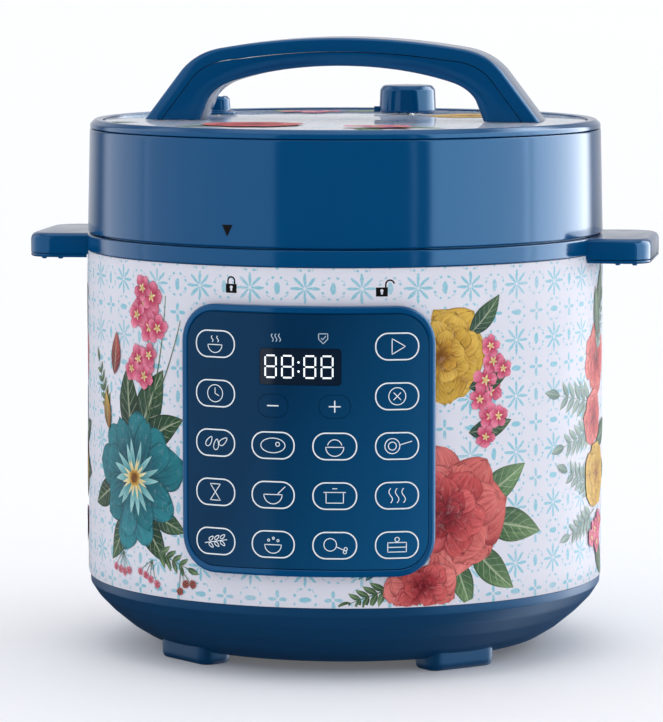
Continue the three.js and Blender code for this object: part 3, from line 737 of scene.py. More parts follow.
FOOT_R, FOOT_TURN = 96, 43
FOOT_LEVELS = ((0, 2.4), (0.35, 1.3), (1.2, 0.5), (2.6, 0.1), (4.0, 0.0))
BOWL_SIDE = ((80.5, 6.5), (100.5, 6.7), (111, 13.2), (120.6, 21.2))  # just inside the bowl


def foot_mesh(turn):
    """A rounded block that runs up into the bowl."""
    rings = []
    for z, inset in (*FOOT_LEVELS, (None, 0.0)):
        ring = []
        for u, v in round_rect(40 - 2 * inset, 19 - 2 * inset, 6.5 - inset, 5):
            x, y = u * cos(turn) - (v - FOOT_R) * sin(turn), u * sin(turn) + (v - FOOT_R) * cos(turn)
            ring.append((x, y, np.interp(hypot(x, y), *zip(*BOWL_SIDE)) if z is None else z))
        rings.append(ring)
    return capped(rings)


for foot, turn in (("front_left", -FOOT_TURN), ("front_right", FOOT_TURN),
                   ("rear_left", FOOT_TURN - 180), ("rear_right", 180 - FOOT_TURN)):
    piece("moulded_foot_" + foot, foot_mesh(radians(turn)), "base", satin_blue, ["foot_" + foot])


def sleeve_mesh():
    """The sleeve's sheet, with its windows behind the keypad and the inlet."""
    columns, wall, edge = 240, 0.8, 0.25
    levels = [SLEEVE_LOW, SLEEVE_LOW + edge, 47, 60, 71, 179, SLEEVE_HIGH - edge, SLEEVE_HIGH]

    def open_at(i, j):
        a = (i + 0.5) * 360 / columns
        a = a - 360 if a > 180 else a
        z = (levels[j] + levels[j + 1]) / 2
        return (abs(a) < 24 and 60 < z < 179) or (abs(a) > 172.5 and 47 < z < 71)

    points, faces = [], []
    rows = len(levels)
    for side in (0, 1):
        for a in all_round(columns):
            for j, z in enumerate(levels):
                r = SLEEVE_R - wall * side - (0.15 if j in (0, rows - 1) and not side else 0)
                points.append(around_axis(a, r, z))

    def at(side, i, j):
        return (side * columns + i % columns) * rows + j

    for i in range(columns):
        for j in range(rows - 1):
            if open_at(i, j):
                continue
            for side in (0, 1):
                faces.append((at(side, i, j), at(side, i + 1, j), at(side, i + 1, j + 1), at(side, i, j + 1)))
            walls = ((i, j, i, j + 1, i - 1, j), (i + 1, j, i + 1, j + 1, i + 1, j),
                     (i, j, i + 1, j, i, j - 1), (i, j + 1, i + 1, j + 1, i, j + 1))
            for i0, j0, i1, j1, i2, j2 in walls:
                if not 0 <= j2 < rows - 1 or open_at(i2 % columns, j2):
                    faces.append((at(0, i0, j0), at(0, i1, j1), at(1, i1, j1), at(1, i0, j0)))
    return mesh_of(points, faces)


piece("printed_sleeve", sleeve_mesh(), "base", sleeve_print, ["outer_sleeve"])

# ---------------------------------------------------------------- collar and side handles


def tab_outline(side, root, inset):
    """A side handle seen from above: a tab with round outer corners, from the body's curve outwards."""
    tip, half, corner = TAB_TIP - inset, 37 - inset, 14
    edge = [(tip - corner * (1 - t) ** 2, -half + corner * t * t) for t in np.linspace(0, 1, 9)]
    edge += [(x, -y) for x, y in reversed(edge)]
    reach = atan2(half, root)
    back = [(root * cos(a), root * sin(a)) for a in np.linspace(reach, -reach, 13)]
    return [(side * x, y) for x, y in [*edge, *back]]


def tab_mesh(side, root, levels):
    rings = [[(x, y, z) for x, y in tab_outline(side, root, inset)] for z, inset in levels]
    return capped(rings)


TAB_LEVELS = ((201.5, 0.3), (201.9, 0), (208.6, 0), (210.2, 0.35), (211.3, 1.2), (211.9, 2.5), (212, 3.6))
collar_ring = rounded(
    [(132.5, 203.8, 0.6), (132.5, 212, 0.9), (130.7, 212, 0.4), (130.7, 197, 0.4), (118.5, 197, 0.4),
     (118.5, 195, 0.4), (130.9, 195, 0.4), (130.9, 203.8, 0.2)],
    0.3,
)
collar = joined(turned(collar_ring), *[tab_mesh(side, 131.8, TAB_LEVELS) for side in (-1, 1)])
piece("collar_and_tabs", collar, "base", gloss_blue, ["collar_with_side_handles"])
for name, side in (("left", -1), ("right", 1)):
    plate = tab_mesh(side, 132.7, ((199.7, 0.8), (200.1, 0.2), (200.5, 0), (201.2, 0.1)))
    pegs = [upright((side * x, y), 1.3, 198.6, 200) for x in (142.7, 151.2) for y in (-30, 30)]
    piece("tab_underside_" + name, joined(plate, *pegs), "base", gloss_blue, ["side_handle_cover_" + name])

# ---------------------------------------------------------------- inside the base

LUGS, LUG_WIDTH = range(0, 360, 60), 22.5  # degrees
liner = rounded(
    [(5, 40.2), (116, 40.2, 3), (116, 203.9, 0.8), (119.5, 203.9, 0.3), (119.5, 205.9, 0.4),
     (114.5, 205.9, 1), (114.5, 41.7, 2), (5, 41.7)],
    0.2,
)
lugs = [sector(118.8, 125.2, 203.9, 205.9, a, LUG_WIDTH) for a in LUGS]
piece("liner_cup", joined(turned(liner), *lugs), "base", steel, ["liner"])
heater = rounded([(14.5, 42), (86, 42), (86, 48.1, 1), (82, 51.6, 2), (14.5, 51.6, 0.6)], 0.5)
piece("heater_disc", turned(heater), "base", aluminium, ["heater_plate"])
cap = rounded([(0, 50.2), (11, 50.2), (11, 45), (12.5, 45), (12.5, 51.7, 1), (0, 51.7)], 0.3)
piece("sensor_button", turned(cap, steps=64), "sensor", aluminium, ["sensor_cap"])


def coil_mesh(radius, turns, low, high, wire):
    steps = 28 * turns
    rings = []
    for i in range(steps + 1):
        a, z = 2 * pi * turns * i / steps, low + (high - low) * i / steps
        section = [(radius + wire * cos(b), z + wire * sin(b)) for b in all_round(12)]
        rings.append([(r * cos(a), r * sin(a), h) for r, h in section])
    return capped(rings)


coil = piece("sensor_coil", coil_mesh(8.2, 4, 42.7, 49.2, 0.6), "base", steel, ["sensor_spring"])
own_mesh(coil)

# ---------------------------------------------------------------- pot, ring and lid

pot = rounded(
    [(0, 51.9), (105.5, 51.9, 7), (112, 58.4, 7), (112, 206.2, 1.2), (120.5, 206.2, 0.6), (120.5, 207.7, 0.6),
     (110.5, 207.7, 2.4), (110.5, 59.1, 6), (105, 53.9, 6), (0, 53.9)],
    0.3,
)
piece("cooking_pot", turned(pot), "pot", nonstick, ["inner_pot"])
ring = rounded(
    [(112.5, 208, 1), (121.5, 208, 1.4), (121.5, 217.6, 1.2), (117, 217.6, 1), (117, 211, 1),
     (112.5, 211, 1)],
    1.0,
)
piece("lid_gasket", turned(ring), "lid_seal", silicone, ["sealing_ring"])


def hole(at, radius, low, high):
    return upright(at, radius, low, high, 32, 0.0)


plate_profile = rounded(
    [(0, 236.5), (104, 236.5, 5), (110.5, 218.2, 2), (127, 218.2, 1.5), (127, 201, 0.3), (128.5, 201, 0.3),
     (128.5, 219.7, 3), (111.6, 219.7, 3), (105.2, 238, 6), (0, 238)],
    0.3,
)
plate_holes = joined(hole(VALVE_AT, 4.4, 225, 245), hole(FLOAT_AT, 2.8, 225, 245),
                     hole((0, 0), 3.4, 225, 245))
plate_lugs = [sector(120.4, 127.4, 201, 203, a, LUG_WIDTH) for a in LUGS]
plate = joined(bored(turned(plate_profile), plate_holes), *plate_lugs)
piece("lid_pressing", plate, "lid", steel, ["lid_inner_plate"])

SCREWS = [(-79, 0), (79, 0)]
cover_profile = rounded(
    [(0, 263.4), (120.8, 263.4, 0.3), (120.8, 262.8, 0.3), (128.1, 262.8, 1.2), (128.9, 210.6, 0.2),
     (129.9, 210.6, 0.2), (129.9, 212.8, 0.2), (131.8, 212.8, 0.9), (130.6, 265.3, 1.1), (123.5, 265.3, 0.2),
     (123.5, 265.9, 0.2), (0, 265.9)],
    0.3,
)
top_holes = [hole(VALVE_AT, 5.5, 255, 280), hole(FLOAT_AT, 4.2, 255, 280)]
top_holes += [hole(at, 2.5, 255, 280) for at in SCREWS]
cover = joined(bored(turned(cover_profile), joined(*top_holes)),
               turned(rounded([(3.4, 238.3), (8, 238.3), (8, 264), (3.4, 264)], 0.4), steps=48))
piece("lid_skirt", cover, "lid", gloss_blue, ["lid_cover"])
ring_profile = rounded(
    [(123.8, 265.6, 0.2), (130.5, 265.6, 0.5), (130.3, 267.8, 1.8), (127.8, 270.1, 1.8),
     (123.8, 269.7, 0.4)], 0.3, 6
)
piece("lid_rim", turned(ring_profile), "lid", gloss_blue, ["lid_top_ring"])
disc_profile = rounded([(0, 266.2), (123.4, 266.2), (123.4, LID_TOP, 0.5), (0, LID_TOP)], 0.2)
piece("lid_print_disc", bored(turned(disc_profile), joined(*top_holes)), "lid", disc_print, ["lid_top_disc"])

# ---------------------------------------------------------------- lid handle

FOOT_Z = 269.3
CREASE = 7.0  # how far the handle's upper shell wraps down from its outer edge


def swept(*stretches, count=44):
    """Evenly spaced points along straight and once-bent stretches, each given by its 2 or 3 points."""
    dense, steps = [], 40
    for stretch in stretches:
        start, end = Vector(stretch[0]), Vector(stretch[-1])
        middle = Vector(stretch[1]) if len(stretch) > 2 else (start + end) / 2
        dense += [bend(start, middle, end, i / steps) for i in range(steps)]
    dense.append(end)
    lengths = np.concatenate([[0], np.cumsum([(q - p).length for p, q in zip(dense, dense[1:])])])
    wanted = np.linspace(0, lengths[-1], count)
    xs = np.interp(wanted, lengths, [p.x for p in dense])
    zs = np.interp(wanted, lengths, [p.y for p in dense])
    half = [Vector((x, z)) for x, z in zip(xs, zs)]
    return half + [Vector((-p.x, p.y)) for p in reversed(half[:-1])]


handle_outer = swept(((-101.6, FOOT_Z), (-82.5, 294.6)), ((-82.5, 294.6), (-74.8, 303.8), (-62, 306)),
                     ((-62, 306), (-31, 311.4), (0, 311.4)))
handle_inner = swept(((-72.7, FOOT_Z), (-68.6, 280)), ((-68.6, 280), (-64.8, 286.2), (-56, 289)),
                     ((-56, 289), (-31, 297), (0, 297)))


def handle_mesh(section):
    """Sweeps a section along the arch. section(thickness) gives (depth, distance from the outer edge)."""
    rings = []
    last = len(handle_outer) - 1
    for i, (outer, inner) in enumerate(zip(handle_outer, handle_inner)):
        way = handle_outer[min(last, i + 1)] - handle_outer[max(0, i - 1)]
        across = (inner - outer).normalized()
        lean = abs(way.normalized().x * across.y - way.normalized().y * across.x)
        ring = []
        for depth, distance in section((inner - outer).length * lean):
            at = outer + across * (distance / lean)
            ring.append((at.x, depth, FOOT_Z if i in (0, last) else at.y))
        rings.append(ring)
    return capped(rings)


def upper_section(_):
    return rounded([(-16.2, 0, 2.6), (16.2, 0, 2.6), (17, CREASE, 0.3), (-17, CREASE, 0.3)], 1, 5)


def lower_section(thick):
    near, far = CREASE + 0.35, thick
    return rounded([(-16.8, near, 0.2), (16.8, near, 0.2), (15.6, far, 3.2), (-15.6, far, 3.2)], 1, 5)


piece("handle_top", handle_mesh(upper_section), "lid", gloss_blue, ["handle_upper_shell"], sharp=32)
piece("handle_underside", handle_mesh(lower_section), "lid", gloss_blue, ["handle_lower_shell"], sharp=32)

# ---------------------------------------------------------------- valves on the lid

knob_profile = rounded(
    [(8.4, 269.7, 0.2), (14.6, 269.7, 0.4), (15, 270.9, 0.5), (14.5, 281.6, 2), (12.8, 284, 2.2), (0, 284.4),
     (0, 282.6), (8.4, 282.6, 0.2)],
    0.2, 6,
)
tab_rings = [[(VALVE_AT[0] - 13.5 - reach, VALVE_AT[1] + y, z) for y, z in
              rounded([(-2.2, 269.7), (2.2, 269.7), (2.2, 272.7), (-2.2, 272.7)], 0.6)] for reach in (0, 4.1)]
knob = joined(turned(knob_profile, VALVE_AT, 96), capped(tab_rings))
piece("steam_knob_cap", knob, "knob", gloss_blue, ["steam_knob"])
collar_profile = rounded(
    [(3.9, 269.3), (10.5, 269.3, 0.2), (10.5, 270.3, 0.5), (7.2, 271.1, 0.8), (6.6, 277.2, 1.2),
     (5.2, 278.6, 0.8), (3.9, 278.6, 0.3)],
    0.2, 5,
)
piece("float_guard", turned(collar_profile, FLOAT_AT, 64), "lid", gloss_blue, ["float_collar"])

# ---------------------------------------------------------------- keypad


def framed(profile):
    """A ring that follows the keypad's outline. profile holds (inset from the outline, radius)."""
    loops = []
    for inset, radius in profile:
        outline = round_rect(PANEL_WIDTH - 2 * inset, PANEL_HEIGHT - 2 * inset, PANEL_CORNER - inset, 2.5, 10)
        loops.append([on_keypad(s, PANEL_Z + v, radius) for s, v in outline])
    return skin(loops)


frame_profile = rounded(
    [(0, 132.3, 0.1), (0, 136.1, 1.0), (0.9, 136.8, 0.8), (3.0, 136.8, 0.5), (3.5, 136.3, 0.3),
     (3.5, 135.3, 0.1), (6.5, 135.3, 0.1), (6.5, 132.3, 0.1)],
    0.2,
)
piece("keypad_surround", framed(frame_profile), "base", gloss_blue, ["keypad_frame"])

OVAL, SIGN = (22, 13.7, 6.55), (15, 11, 5.2)
KEY_ROWS = (165.9, 141.7, 117.5, 93.3, 69.1)
KEYS = {
    "warm": (-1.5, 0), "delay": (-1.5, 1), "beans": (-1.5, 2), "slow": (-1.5, 3), "grain": (-1.5, 4),
    "meat": (-0.5, 2), "soup": (-0.5, 3), "oats": (-0.5, 4),
    "rice": (0.5, 2), "stew": (0.5, 3), "poultry": (0.5, 4),
    "start": (1.5, 0), "cancel": (1.5, 1), "brown": (1.5, 2), "steam": (1.5, 3), "cake": (1.5, 4),
}
KEY_AT = {name: (column * KEY_PITCH_S, KEY_ROWS[row], OVAL) for name, (column, row) in KEYS.items()}
SIGN_Z = 136.86
KEY_AT["minus"] = (-0.5 * KEY_PITCH_S, SIGN_Z, SIGN)
KEY_AT["plus"] = (0.5 * KEY_PITCH_S, SIGN_Z, SIGN)
DISPLAY_AT, DISPLAY = (-1.8, 156.0), (40, 17.5, 1.5)
SLIT = 0.2  # gap round each key, so that the outer ones clear the film when they are pressed


def grown(size, by):
    width, height, corner = size
    return round_rect(width + 2 * by, height + 2 * by, corner + by, 2.0)


outlines = [moved(round_rect(122.6, 124.2, 15.1, 2.5), 0, PANEL_Z)]
outlines += [moved(grown(size, SLIT), s, z) for s, z, size in KEY_AT.values()]
outlines.append(moved(grown(DISPLAY, SLIT), *DISPLAY_AT))
piece("keypad_sheet", sheet(outlines, 135.6, 136.6), "base", keypad_blue, ["keypad_film"])
window = sheet([moved(grown(DISPLAY, 0), *DISPLAY_AT)], 135.6, 136.6)
piece("display_lens", window, "base", window_black, ["display_window"])


def arc(x, y, radius, start, end, count=14):
    turns = [radians(start + (end - start) * i / count) for i in range(count + 1)]
    return [(x + radius * cos(a), y + radius * sin(a)) for a in turns]


def circle(x, y, radius, count=16):
    return arc(x, y, radius, 0, 360, count)[:-1], True


def line(*points):
    return list(points), False


def wave(x, low, high, swing=0.5):
    ys = np.linspace(low, high, 11)
    return [(x + swing * sin(2 * pi * (y - low) / (high - low)), y) for y in ys], False


def bowl(y=0.6, reach=4.6):
    return [(arc(0, y, reach, 180, 360), True)]


def drop_shape(x, y, length, turn):
    """A grain: a pointed oval."""
    points = []
    for i in range(12):
        a = 2 * pi * i / 12
        u, v = length / 2 * cos(a), length * 0.24 * sin(a) * (1 - 0.35 * cos(a))
        points.append((x + u * cos(turn) - v * sin(turn), y + u * sin(turn) + v * cos(turn)))
    return points, True


SIGNS = {
    "warm": [*bowl(-0.4, 3.9), wave(-1.5, 0.9, 3.9), wave(1.5, 0.9, 3.9)],
    "delay": [circle(0, 0, 4.2, 24), line((0, 2.8), (0, 0), (2.1, -1.1))],
    "beans": [drop_shape(-3.4, 0.6, 5.4, 1.0), drop_shape(0.6, -0.8, 5.4, 1.4),
              drop_shape(4.4, 0.8, 5.4, 0.7)],
    "slow": [([(-2.8, 4), (2.8, 4), (-2.8, -4), (2.8, -4)], True)],
    "grain": [line((-6, -1.2), (6.4, 1.1))] + [drop_shape(x, side * 1.7 + x * 0.18, 3.0, side * 0.7)
                                              for x in (-2.4, 0.8, 4.0) for side in (-1, 1)],
    "meat": [([(x * 1.7, y) for x, y in arc(0, 0, 3.6, 0, 345, 20)], True), circle(2.4, 0.6, 1.0, 10)],
    "soup": [*bowl(0.2), line((2.4, 0.6), (6.2, 4.2))],
    "oats": [*bowl(-0.2, 4.2), circle(-2.2, 2.0, 0.55, 8), circle(0.2, 3.0, 0.55, 8),
             circle(2.5, 1.9, 0.55, 8)],
    "rice": [*bowl(-0.4, 4.4), (arc(0, -0.2, 3.5, 12, 168), False)],
    "stew": [([(-4.2, 1.8), (4.2, 1.8), (4.2, -3.4), (-4.2, -3.4)], True), line((-5.4, 1.8), (5.4, 1.8)),
             line((-1.2, 3.6), (1.2, 3.6))],
    "poultry": [circle(-2.2, 0.4, 3.1, 18), line((0.7, -0.6), (4.4, -2.2)), circle(5.3, -1.7, 0.8, 9),
                circle(4.9, -3.2, 0.8, 9)],
    "start": [([(-2.6, 3.8), (4.0, 0), (-2.6, -3.8)], True)],
    "cancel": [circle(0, 0, 4.2, 24), line((-1.8, -1.8), (1.8, 1.8)), line((-1.8, 1.8), (1.8, -1.8))],
    "brown": [circle(-2.4, 0, 3.7, 20), line((1.3, 0.5), (7.4, 2.2)), circle(-2.4, 0, 2.0, 12)],
    "steam": [wave(-3.2, -3.6, 3.6, 0.9), wave(0, -3.6, 3.6, 0.9), wave(3.2, -3.6, 3.6, 0.9)],
    "cake": [([(-4.6, 1.2), (4.6, 1.2), (4.6, -3.4), (-4.6, -3.4)], True), line((-4.6, -1.1), (4.6, -1.1)),
             circle(0, 2.7, 1.1, 10)],
    "minus": [line((-2.9, 0), (2.9, 0))],
    "plus": [line((-2.9, 0), (2.9, 0)), line((0, -2.9), (0, 2.9))],
}


STEM_R, STEM_END_Y = 1.5, -125.7


def stem_mesh(s, z):
    """The stem behind a key, down to its switch."""
    x, front, _ = on_keypad(s, z, 135.0)
    return capped([[(x + STEM_R * cos(a), y, z + STEM_R * sin(a)) for a in all_round(12)]
                   for y in (front, STEM_END_Y)])


for name, (s, z, size) in KEY_AT.items():
    cap = sheet([moved(grown(size, 0), s, z)], 134.8, 136.6)
    lines = [ink(strokes_at(SIGNS[name], s, z), 0.6 if size is SIGN else 0.42, KEYPAD_R)]
    if size is OVAL:
        lines.append(ink([(moved(grown(size, -0.4), s, z), True)], 0.66, KEYPAD_R))
    piece("cap_" + name, joined(cap, stem_mesh(s, z)), "key_" + name, keypad_blue, ["key_" + name])
    piece("sign_" + name, joined(*lines), "key_" + name, white_ink)

# Seven-segment digits, all segments lit, as such a display shows them when it is off duty.
DIGIT_WIDE, DIGIT_TALL = 5.4, 10.6


def digit(s):
    """The seven segments, at a distance along the curve."""
    w, h, gap = DIGIT_WIDE / 2, DIGIT_TALL / 2, 0.55
    segments = [((-w + gap, k * h), (w - gap, k * h)) for k in (-1, 0, 1)]
    segments += [((x, y0 + gap), (x, y0 + h - gap)) for x in (-w, w) for y0 in (-h, 0)]
    return [(moved(points, s, 0), False) for points in segments]


display = [stroke for s in (-14.5, -6.1, 4.9, 13.3) for stroke in digit(s)]
display += [circle(-0.6, dz, 0.2, 8) for dz in (-2.2, 2.2)]
piece("display_digits", ink(strokes_at(display, *DISPLAY_AT), 0.8, KEYPAD_R), "base", digit_white)
heat_sign = [wave(x, -1.9, 1.9, 0.5) for x in (-1.8, 0, 1.8)]
safe_sign = [([(-2.2, 2.2), (2.2, 2.2), (2.2, -0.4), (0, -2.6), (-2.2, -0.4)], True),
             line((-1.0, 0.2), (-0.2, -0.7), (1.3, 1.1))]
above = strokes_at(heat_sign, -13.6, 170) + strokes_at(safe_sign, 9.6, 170)
piece("indicator_signs", ink(above, 0.42, KEYPAD_R), "base", indicator_ink)

# ---------------------------------------------------------------- marks on the sleeve and the lid


def on_arc(azimuth, radius=SLEEVE_R):
    return radians(azimuth) * radius


def mark(outlines, radius):
    """A printed shape on a round surface. Outlines inside the first are holes."""
    return sheet(outlines, radius - 0.05, radius + 0.03, radius)


LOCK_BODY = [(-2.9, -2.4), (2.9, -2.4), (2.9, 2.0), (-2.9, 2.0)]
KEYHOLE = arc(0, 0.4, 0.8, -50, 230, 10) + [(-0.5, -1.4), (0.5, -1.4)]
for name, (s, z), shackle in (
    ("lock_mark_closed", (on_arc(-16.3), 193), [(-1.8, 2.0), *arc(0, 3.6, 1.8, 180, 0, 10), (1.8, 2.0)]),
    ("lock_mark_open", (on_arc(16.2), 192.2), [(1.9, 2.0), *arc(4.0, 3.4, 2.1, 180, 10, 10)]),
):
    body = mark([moved(LOCK_BODY, s, z), moved(KEYHOLE, s, z)], SLEEVE_R)
    bow = ink([(moved(shackle, s, z), False)], 0.8, SLEEVE_R, SLEEVE_R)
    piece(name, joined(body, bow), "base", mark_black)
SKIRT_R = 131.75
arrow = moved([(-2.8, 2.9), (2.8, 2.9), (0, -2.8)], on_arc(-17.3, SKIRT_R), 220.7)
piece("arrow_mark", mark([arrow], SKIRT_R), "lid", mark_black)

# ---------------------------------------------------------------- the printed flowers

rng = random.Random(7)
TEAL = ((18, 78, 94), (38, 128, 138))
AQUA_PETAL = ((60, 140, 148), (158, 208, 206))
CORAL = ((150, 36, 48), (222, 122, 116))
MID_CORAL = ((128, 24, 36), (206, 92, 92))
DEEP_CORAL = ((96, 14, 26), (176, 60, 66))
YELLOW = ((150, 98, 24), (218, 178, 78))
PINK = ((186, 48, 88), (234, 140, 166))
DARK_LEAF = ((22, 52, 42), (58, 92, 58))
LEAF = ((50, 84, 52), (112, 144, 98))
SPRIG = ((112, 138, 136), (166, 186, 178))
RED = ((122, 26, 36), (182, 66, 62))
GOLD = ((120, 74, 24), (212, 162, 62))
CREAM = ((214, 190, 120), (240, 228, 186))
STROKE_STEP = 2.2
LAYER, LOWEST_LAYER = 0.005, 0.03  # mm: how far one stroke lies over the last, and the first over the ground


class Print:
    """Painted strokes on the sleeve, placed in mm along the curve from the front and in mm of height, or on
    the lid, in mm from its middle."""

    def __init__(self):
        self.points, self.faces, self.places, self.colours = [], [], [], []
        self.layer = 0

    def blade(self, root, angle, length, width, colours, kind="petal", curl=0.0, ruffle=0.0):
        """One petal, leaf or line that grows from root towards angle."""
        self.layer += 1
        phase = rng.uniform(0, 6)
        shade = rng.uniform(-12, 12)
        tint = [linear(*(min(255, max(0, c + shade)) for c in colour)) for colour in colours]
        steps, sides = max(5, ceil(length / STROKE_STEP)), max(2, 2 * ceil(width / 5))
        first = len(self.points)
        x, y, heading = root[0], root[1], angle - curl / 2
        for i in range(steps + 1):
            t = i / steps
            swell = {"petal": max(0.0, sin(pi * t ** 1.35)) ** 0.62 * (1 - 0.25 * (1 - t)),
                     "leaf": max(0.0, sin(pi * t ** 0.85)) ** 0.95, "line": 1.0 - 0.6 * t}[kind]
            half = width / 2 * swell * (1 + ruffle * sin(5 * t + phase)) + 0.02
            for j in range(sides + 1):
                v = 2 * j / sides - 1
                push = ruffle * length * 0.10 * sin(7 * v + phase) * t * t
                side = half * v * (1 + ruffle * 0.4 * sin(9 * t + 2 * phase + v))
                self.points.append((x - sin(heading) * side + cos(heading) * push,
                                    y + cos(heading) * side + sin(heading) * push, self.layer))
                self.places.append((t, v / 2 + 0.5))
                self.colours.append(tint)
            x += cos(heading) * length / steps
            y += sin(heading) * length / steps
            heading += curl / steps
        for i in range(steps):
            for j in range(sides):
                a = first + i * (sides + 1) + j
                self.faces.append((a, a + sides + 1, a + sides + 2, a + 1))

    def ring(self, at, count, reach, width, colours, start=0.0, kind="petal", **more):
        """Blades all round a middle."""
        turn = rng.uniform(0, 2 * pi)
        for k in range(count):
            a = turn + 2 * pi * k / count + rng.uniform(-0.12, 0.12)
            long = reach * rng.uniform(0.88, 1.06)
            self.blade(at, a + start, long, width * rng.uniform(0.9, 1.1), colours, kind,
                       curl=rng.uniform(-0.3, 0.3), **more)

    def daisy(self, at, reach):
        """A broad-petalled open flower with a pale ring of inner petals and a golden heart."""
        self.ring(at, 9, reach, reach * 0.62, TEAL, ruffle=0.16)
        self.ring(at, 8, reach * 0.86, reach * 0.46, TEAL, ruffle=0.14)
        self.ring(at, 15, reach * 0.54, reach * 0.11, AQUA_PETAL, kind="leaf", ruffle=0.1)
        self.ring(at, 16, reach * 0.3, reach * 0.05, CREAM, kind="leaf")
        self.heart(at, reach * 0.13)

    def heart(self, at, reach):
        self.ring(at, 12, reach, reach * 0.5, GOLD, ruffle=0.05)
        self.ring(at, 9, reach * 0.6, reach * 0.45, (GOLD[0], GOLD[0]), ruffle=0.05)

    def rose(self, at, reach, colours, middle, deep, ruffle=0.16):
        """A full flower: rings of wide petals, each smaller than the last and turned against it."""
        for k, share in enumerate((1.0, 0.86, 0.7, 0.55, 0.4, 0.27)):
            count = 8 - k
            shades = (colours, middle, deep)[k // 2]
            self.ring(at, max(4, count), reach * share, reach * share * (0.98 - 0.05 * k), shades,
                      start=0.25 * (-1) ** k, ruffle=ruffle)
        self.ring(at, 5, reach * 0.13, reach * 0.12, (deep[0], colours[0]), start=0.9)

    def blossom(self, at, reach):
        self.ring(at, 5, reach, reach * 0.92, PINK, ruffle=0.12)
        self.ring(at, 5, reach * 0.4, reach * 0.16, CREAM, kind="leaf")

    def cluster(self, at, spread, count, reach):
        """Blossoms scattered over an upright oval, the outer ones smaller."""
        for k in range(count):
            a, far = k * 2.4 + rng.uniform(-0.3, 0.3), (k / count) ** 0.5
            place = (at[0] + cos(a) * spread[0] * far, at[1] + sin(a) * spread[1] * far)
            self.blossom(place, reach * (1.1 - 0.35 * far))

    def foliage(self, at, rows, spread, stretch, colours, width):
        """Leaves round a flower. Each row is (x, y, angle, length)."""
        for dx, dy, angle, length in rows:
            root = (at[0] + dx * spread, at[1] + dy * spread)
            self.leaf(root, angle, length * stretch, colours, width, rng.uniform(-0.5, 0.5))

    def leaf(self, root, angle, length, colours=DARK_LEAF, width=0.42, curl=0.3):
        self.blade(root, radians(angle), length, length * width, colours, "leaf", curl)

    def stem(self, root, angle, length, colours=LEAF, curl=0.4, thick=0.9):
        self.blade(root, radians(angle), length, thick, colours, "line", curl)

    def sprig(self, root, angle, length, colours=SPRIG, pairs=5, size=0.3):
        """A thin stem with pairs of small leaves and one at the end."""
        self.stem(root, angle, length, colours, 0.0, 0.7)
        a = radians(angle)
        for k in range(pairs):
            reach = length * (0.2 + 0.72 * k / pairs)
            at = (root[0] + cos(a) * reach, root[1] + sin(a) * reach)
            for side in (-1, 1):
                self.leaf(at, angle + side * 48, length * size * (1.1 - 0.08 * k), colours, 0.38, side * 0.4)
        self.leaf((root[0] + cos(a) * length * 0.95, root[1] + sin(a) * length * 0.95), angle,
                  length * size, colours, 0.4, 0.1)

    def berries(self, root, angle, count, colours):
        """Berries on short stalks that fan out."""
        for k in range(count):
            turn = angle + (k - (count - 1) / 2) * 24
            reach = rng.uniform(8, 13)
            self.stem(root, turn, reach, LEAF, 0.3, 0.5)
            a = radians(turn)
            self.ring((root[0] + cos(a) * reach, root[1] + sin(a) * reach), 5, 2.3, 2.4, colours)

    def mesh(self, place, shown):
        """place(u, v, height) gives a point in space, and shown(u, v) says whether the ground has it."""
        points = [place(u, v, LOWEST_LAYER + LAYER * layer) for u, v, layer in self.points]
        faces = [f for f in self.faces if all(shown(*self.points[i][:2]) for i in f)]
        mesh = bpy.data.meshes.new("print")
        mesh.from_pydata(points, [], faces)
        uv = mesh.uv_layers.new(name="stroke")
        loops = [i for face in faces for i in face]
        uv.data.foreach_set("uv", [c for i in loops for c in self.places[i]])
        for k, name in enumerate(("near_colour", "far_colour")):
            layer = mesh.color_attributes.new(name, "FLOAT_COLOR", "POINT")
            layer.data.foreach_set("color", [c for colours in self.colours for c in (*colours[k], 1)])
        shape = bmesh_of(mesh)
        bmesh.ops.delete(shape, geom=[v for v in shape.verts if not v.link_faces], context="VERTS")
        return finished(shape, mesh)


def on_sleeve(u, v, height):
    return around_axis(u / SLEEVE_R, SLEEVE_R + height, v)


def on_disc(u, v, height):
    return u, v, LID_TOP + height


REAR = pi * SLEEVE_R


def sleeve_shows(u, v):
    """Whether a point of the sleeve is in sight: not past its edges, nor behind the keypad or the inlet."""
    rear = abs(abs(u) - REAR)
    return SLEEVE_LOW + 0.4 < v < SLEEVE_HIGH - 0.4 and not (
        abs(u) < 61 and 58 < v < 181) and not (rear < 23 and v < 76) and abs(u) <= REAR + 12


def disc_shows(u, v):
    """Whether a point of the lid's disc is clear of its rim and of the valves."""
    far = hypot(u, v)
    return far < 122.5 and hypot(u - VALVE_AT[0], v - VALVE_AT[1]) > 8 and hypot(
        u - FLOAT_AT[0], v - FLOAT_AT[1]) > 6


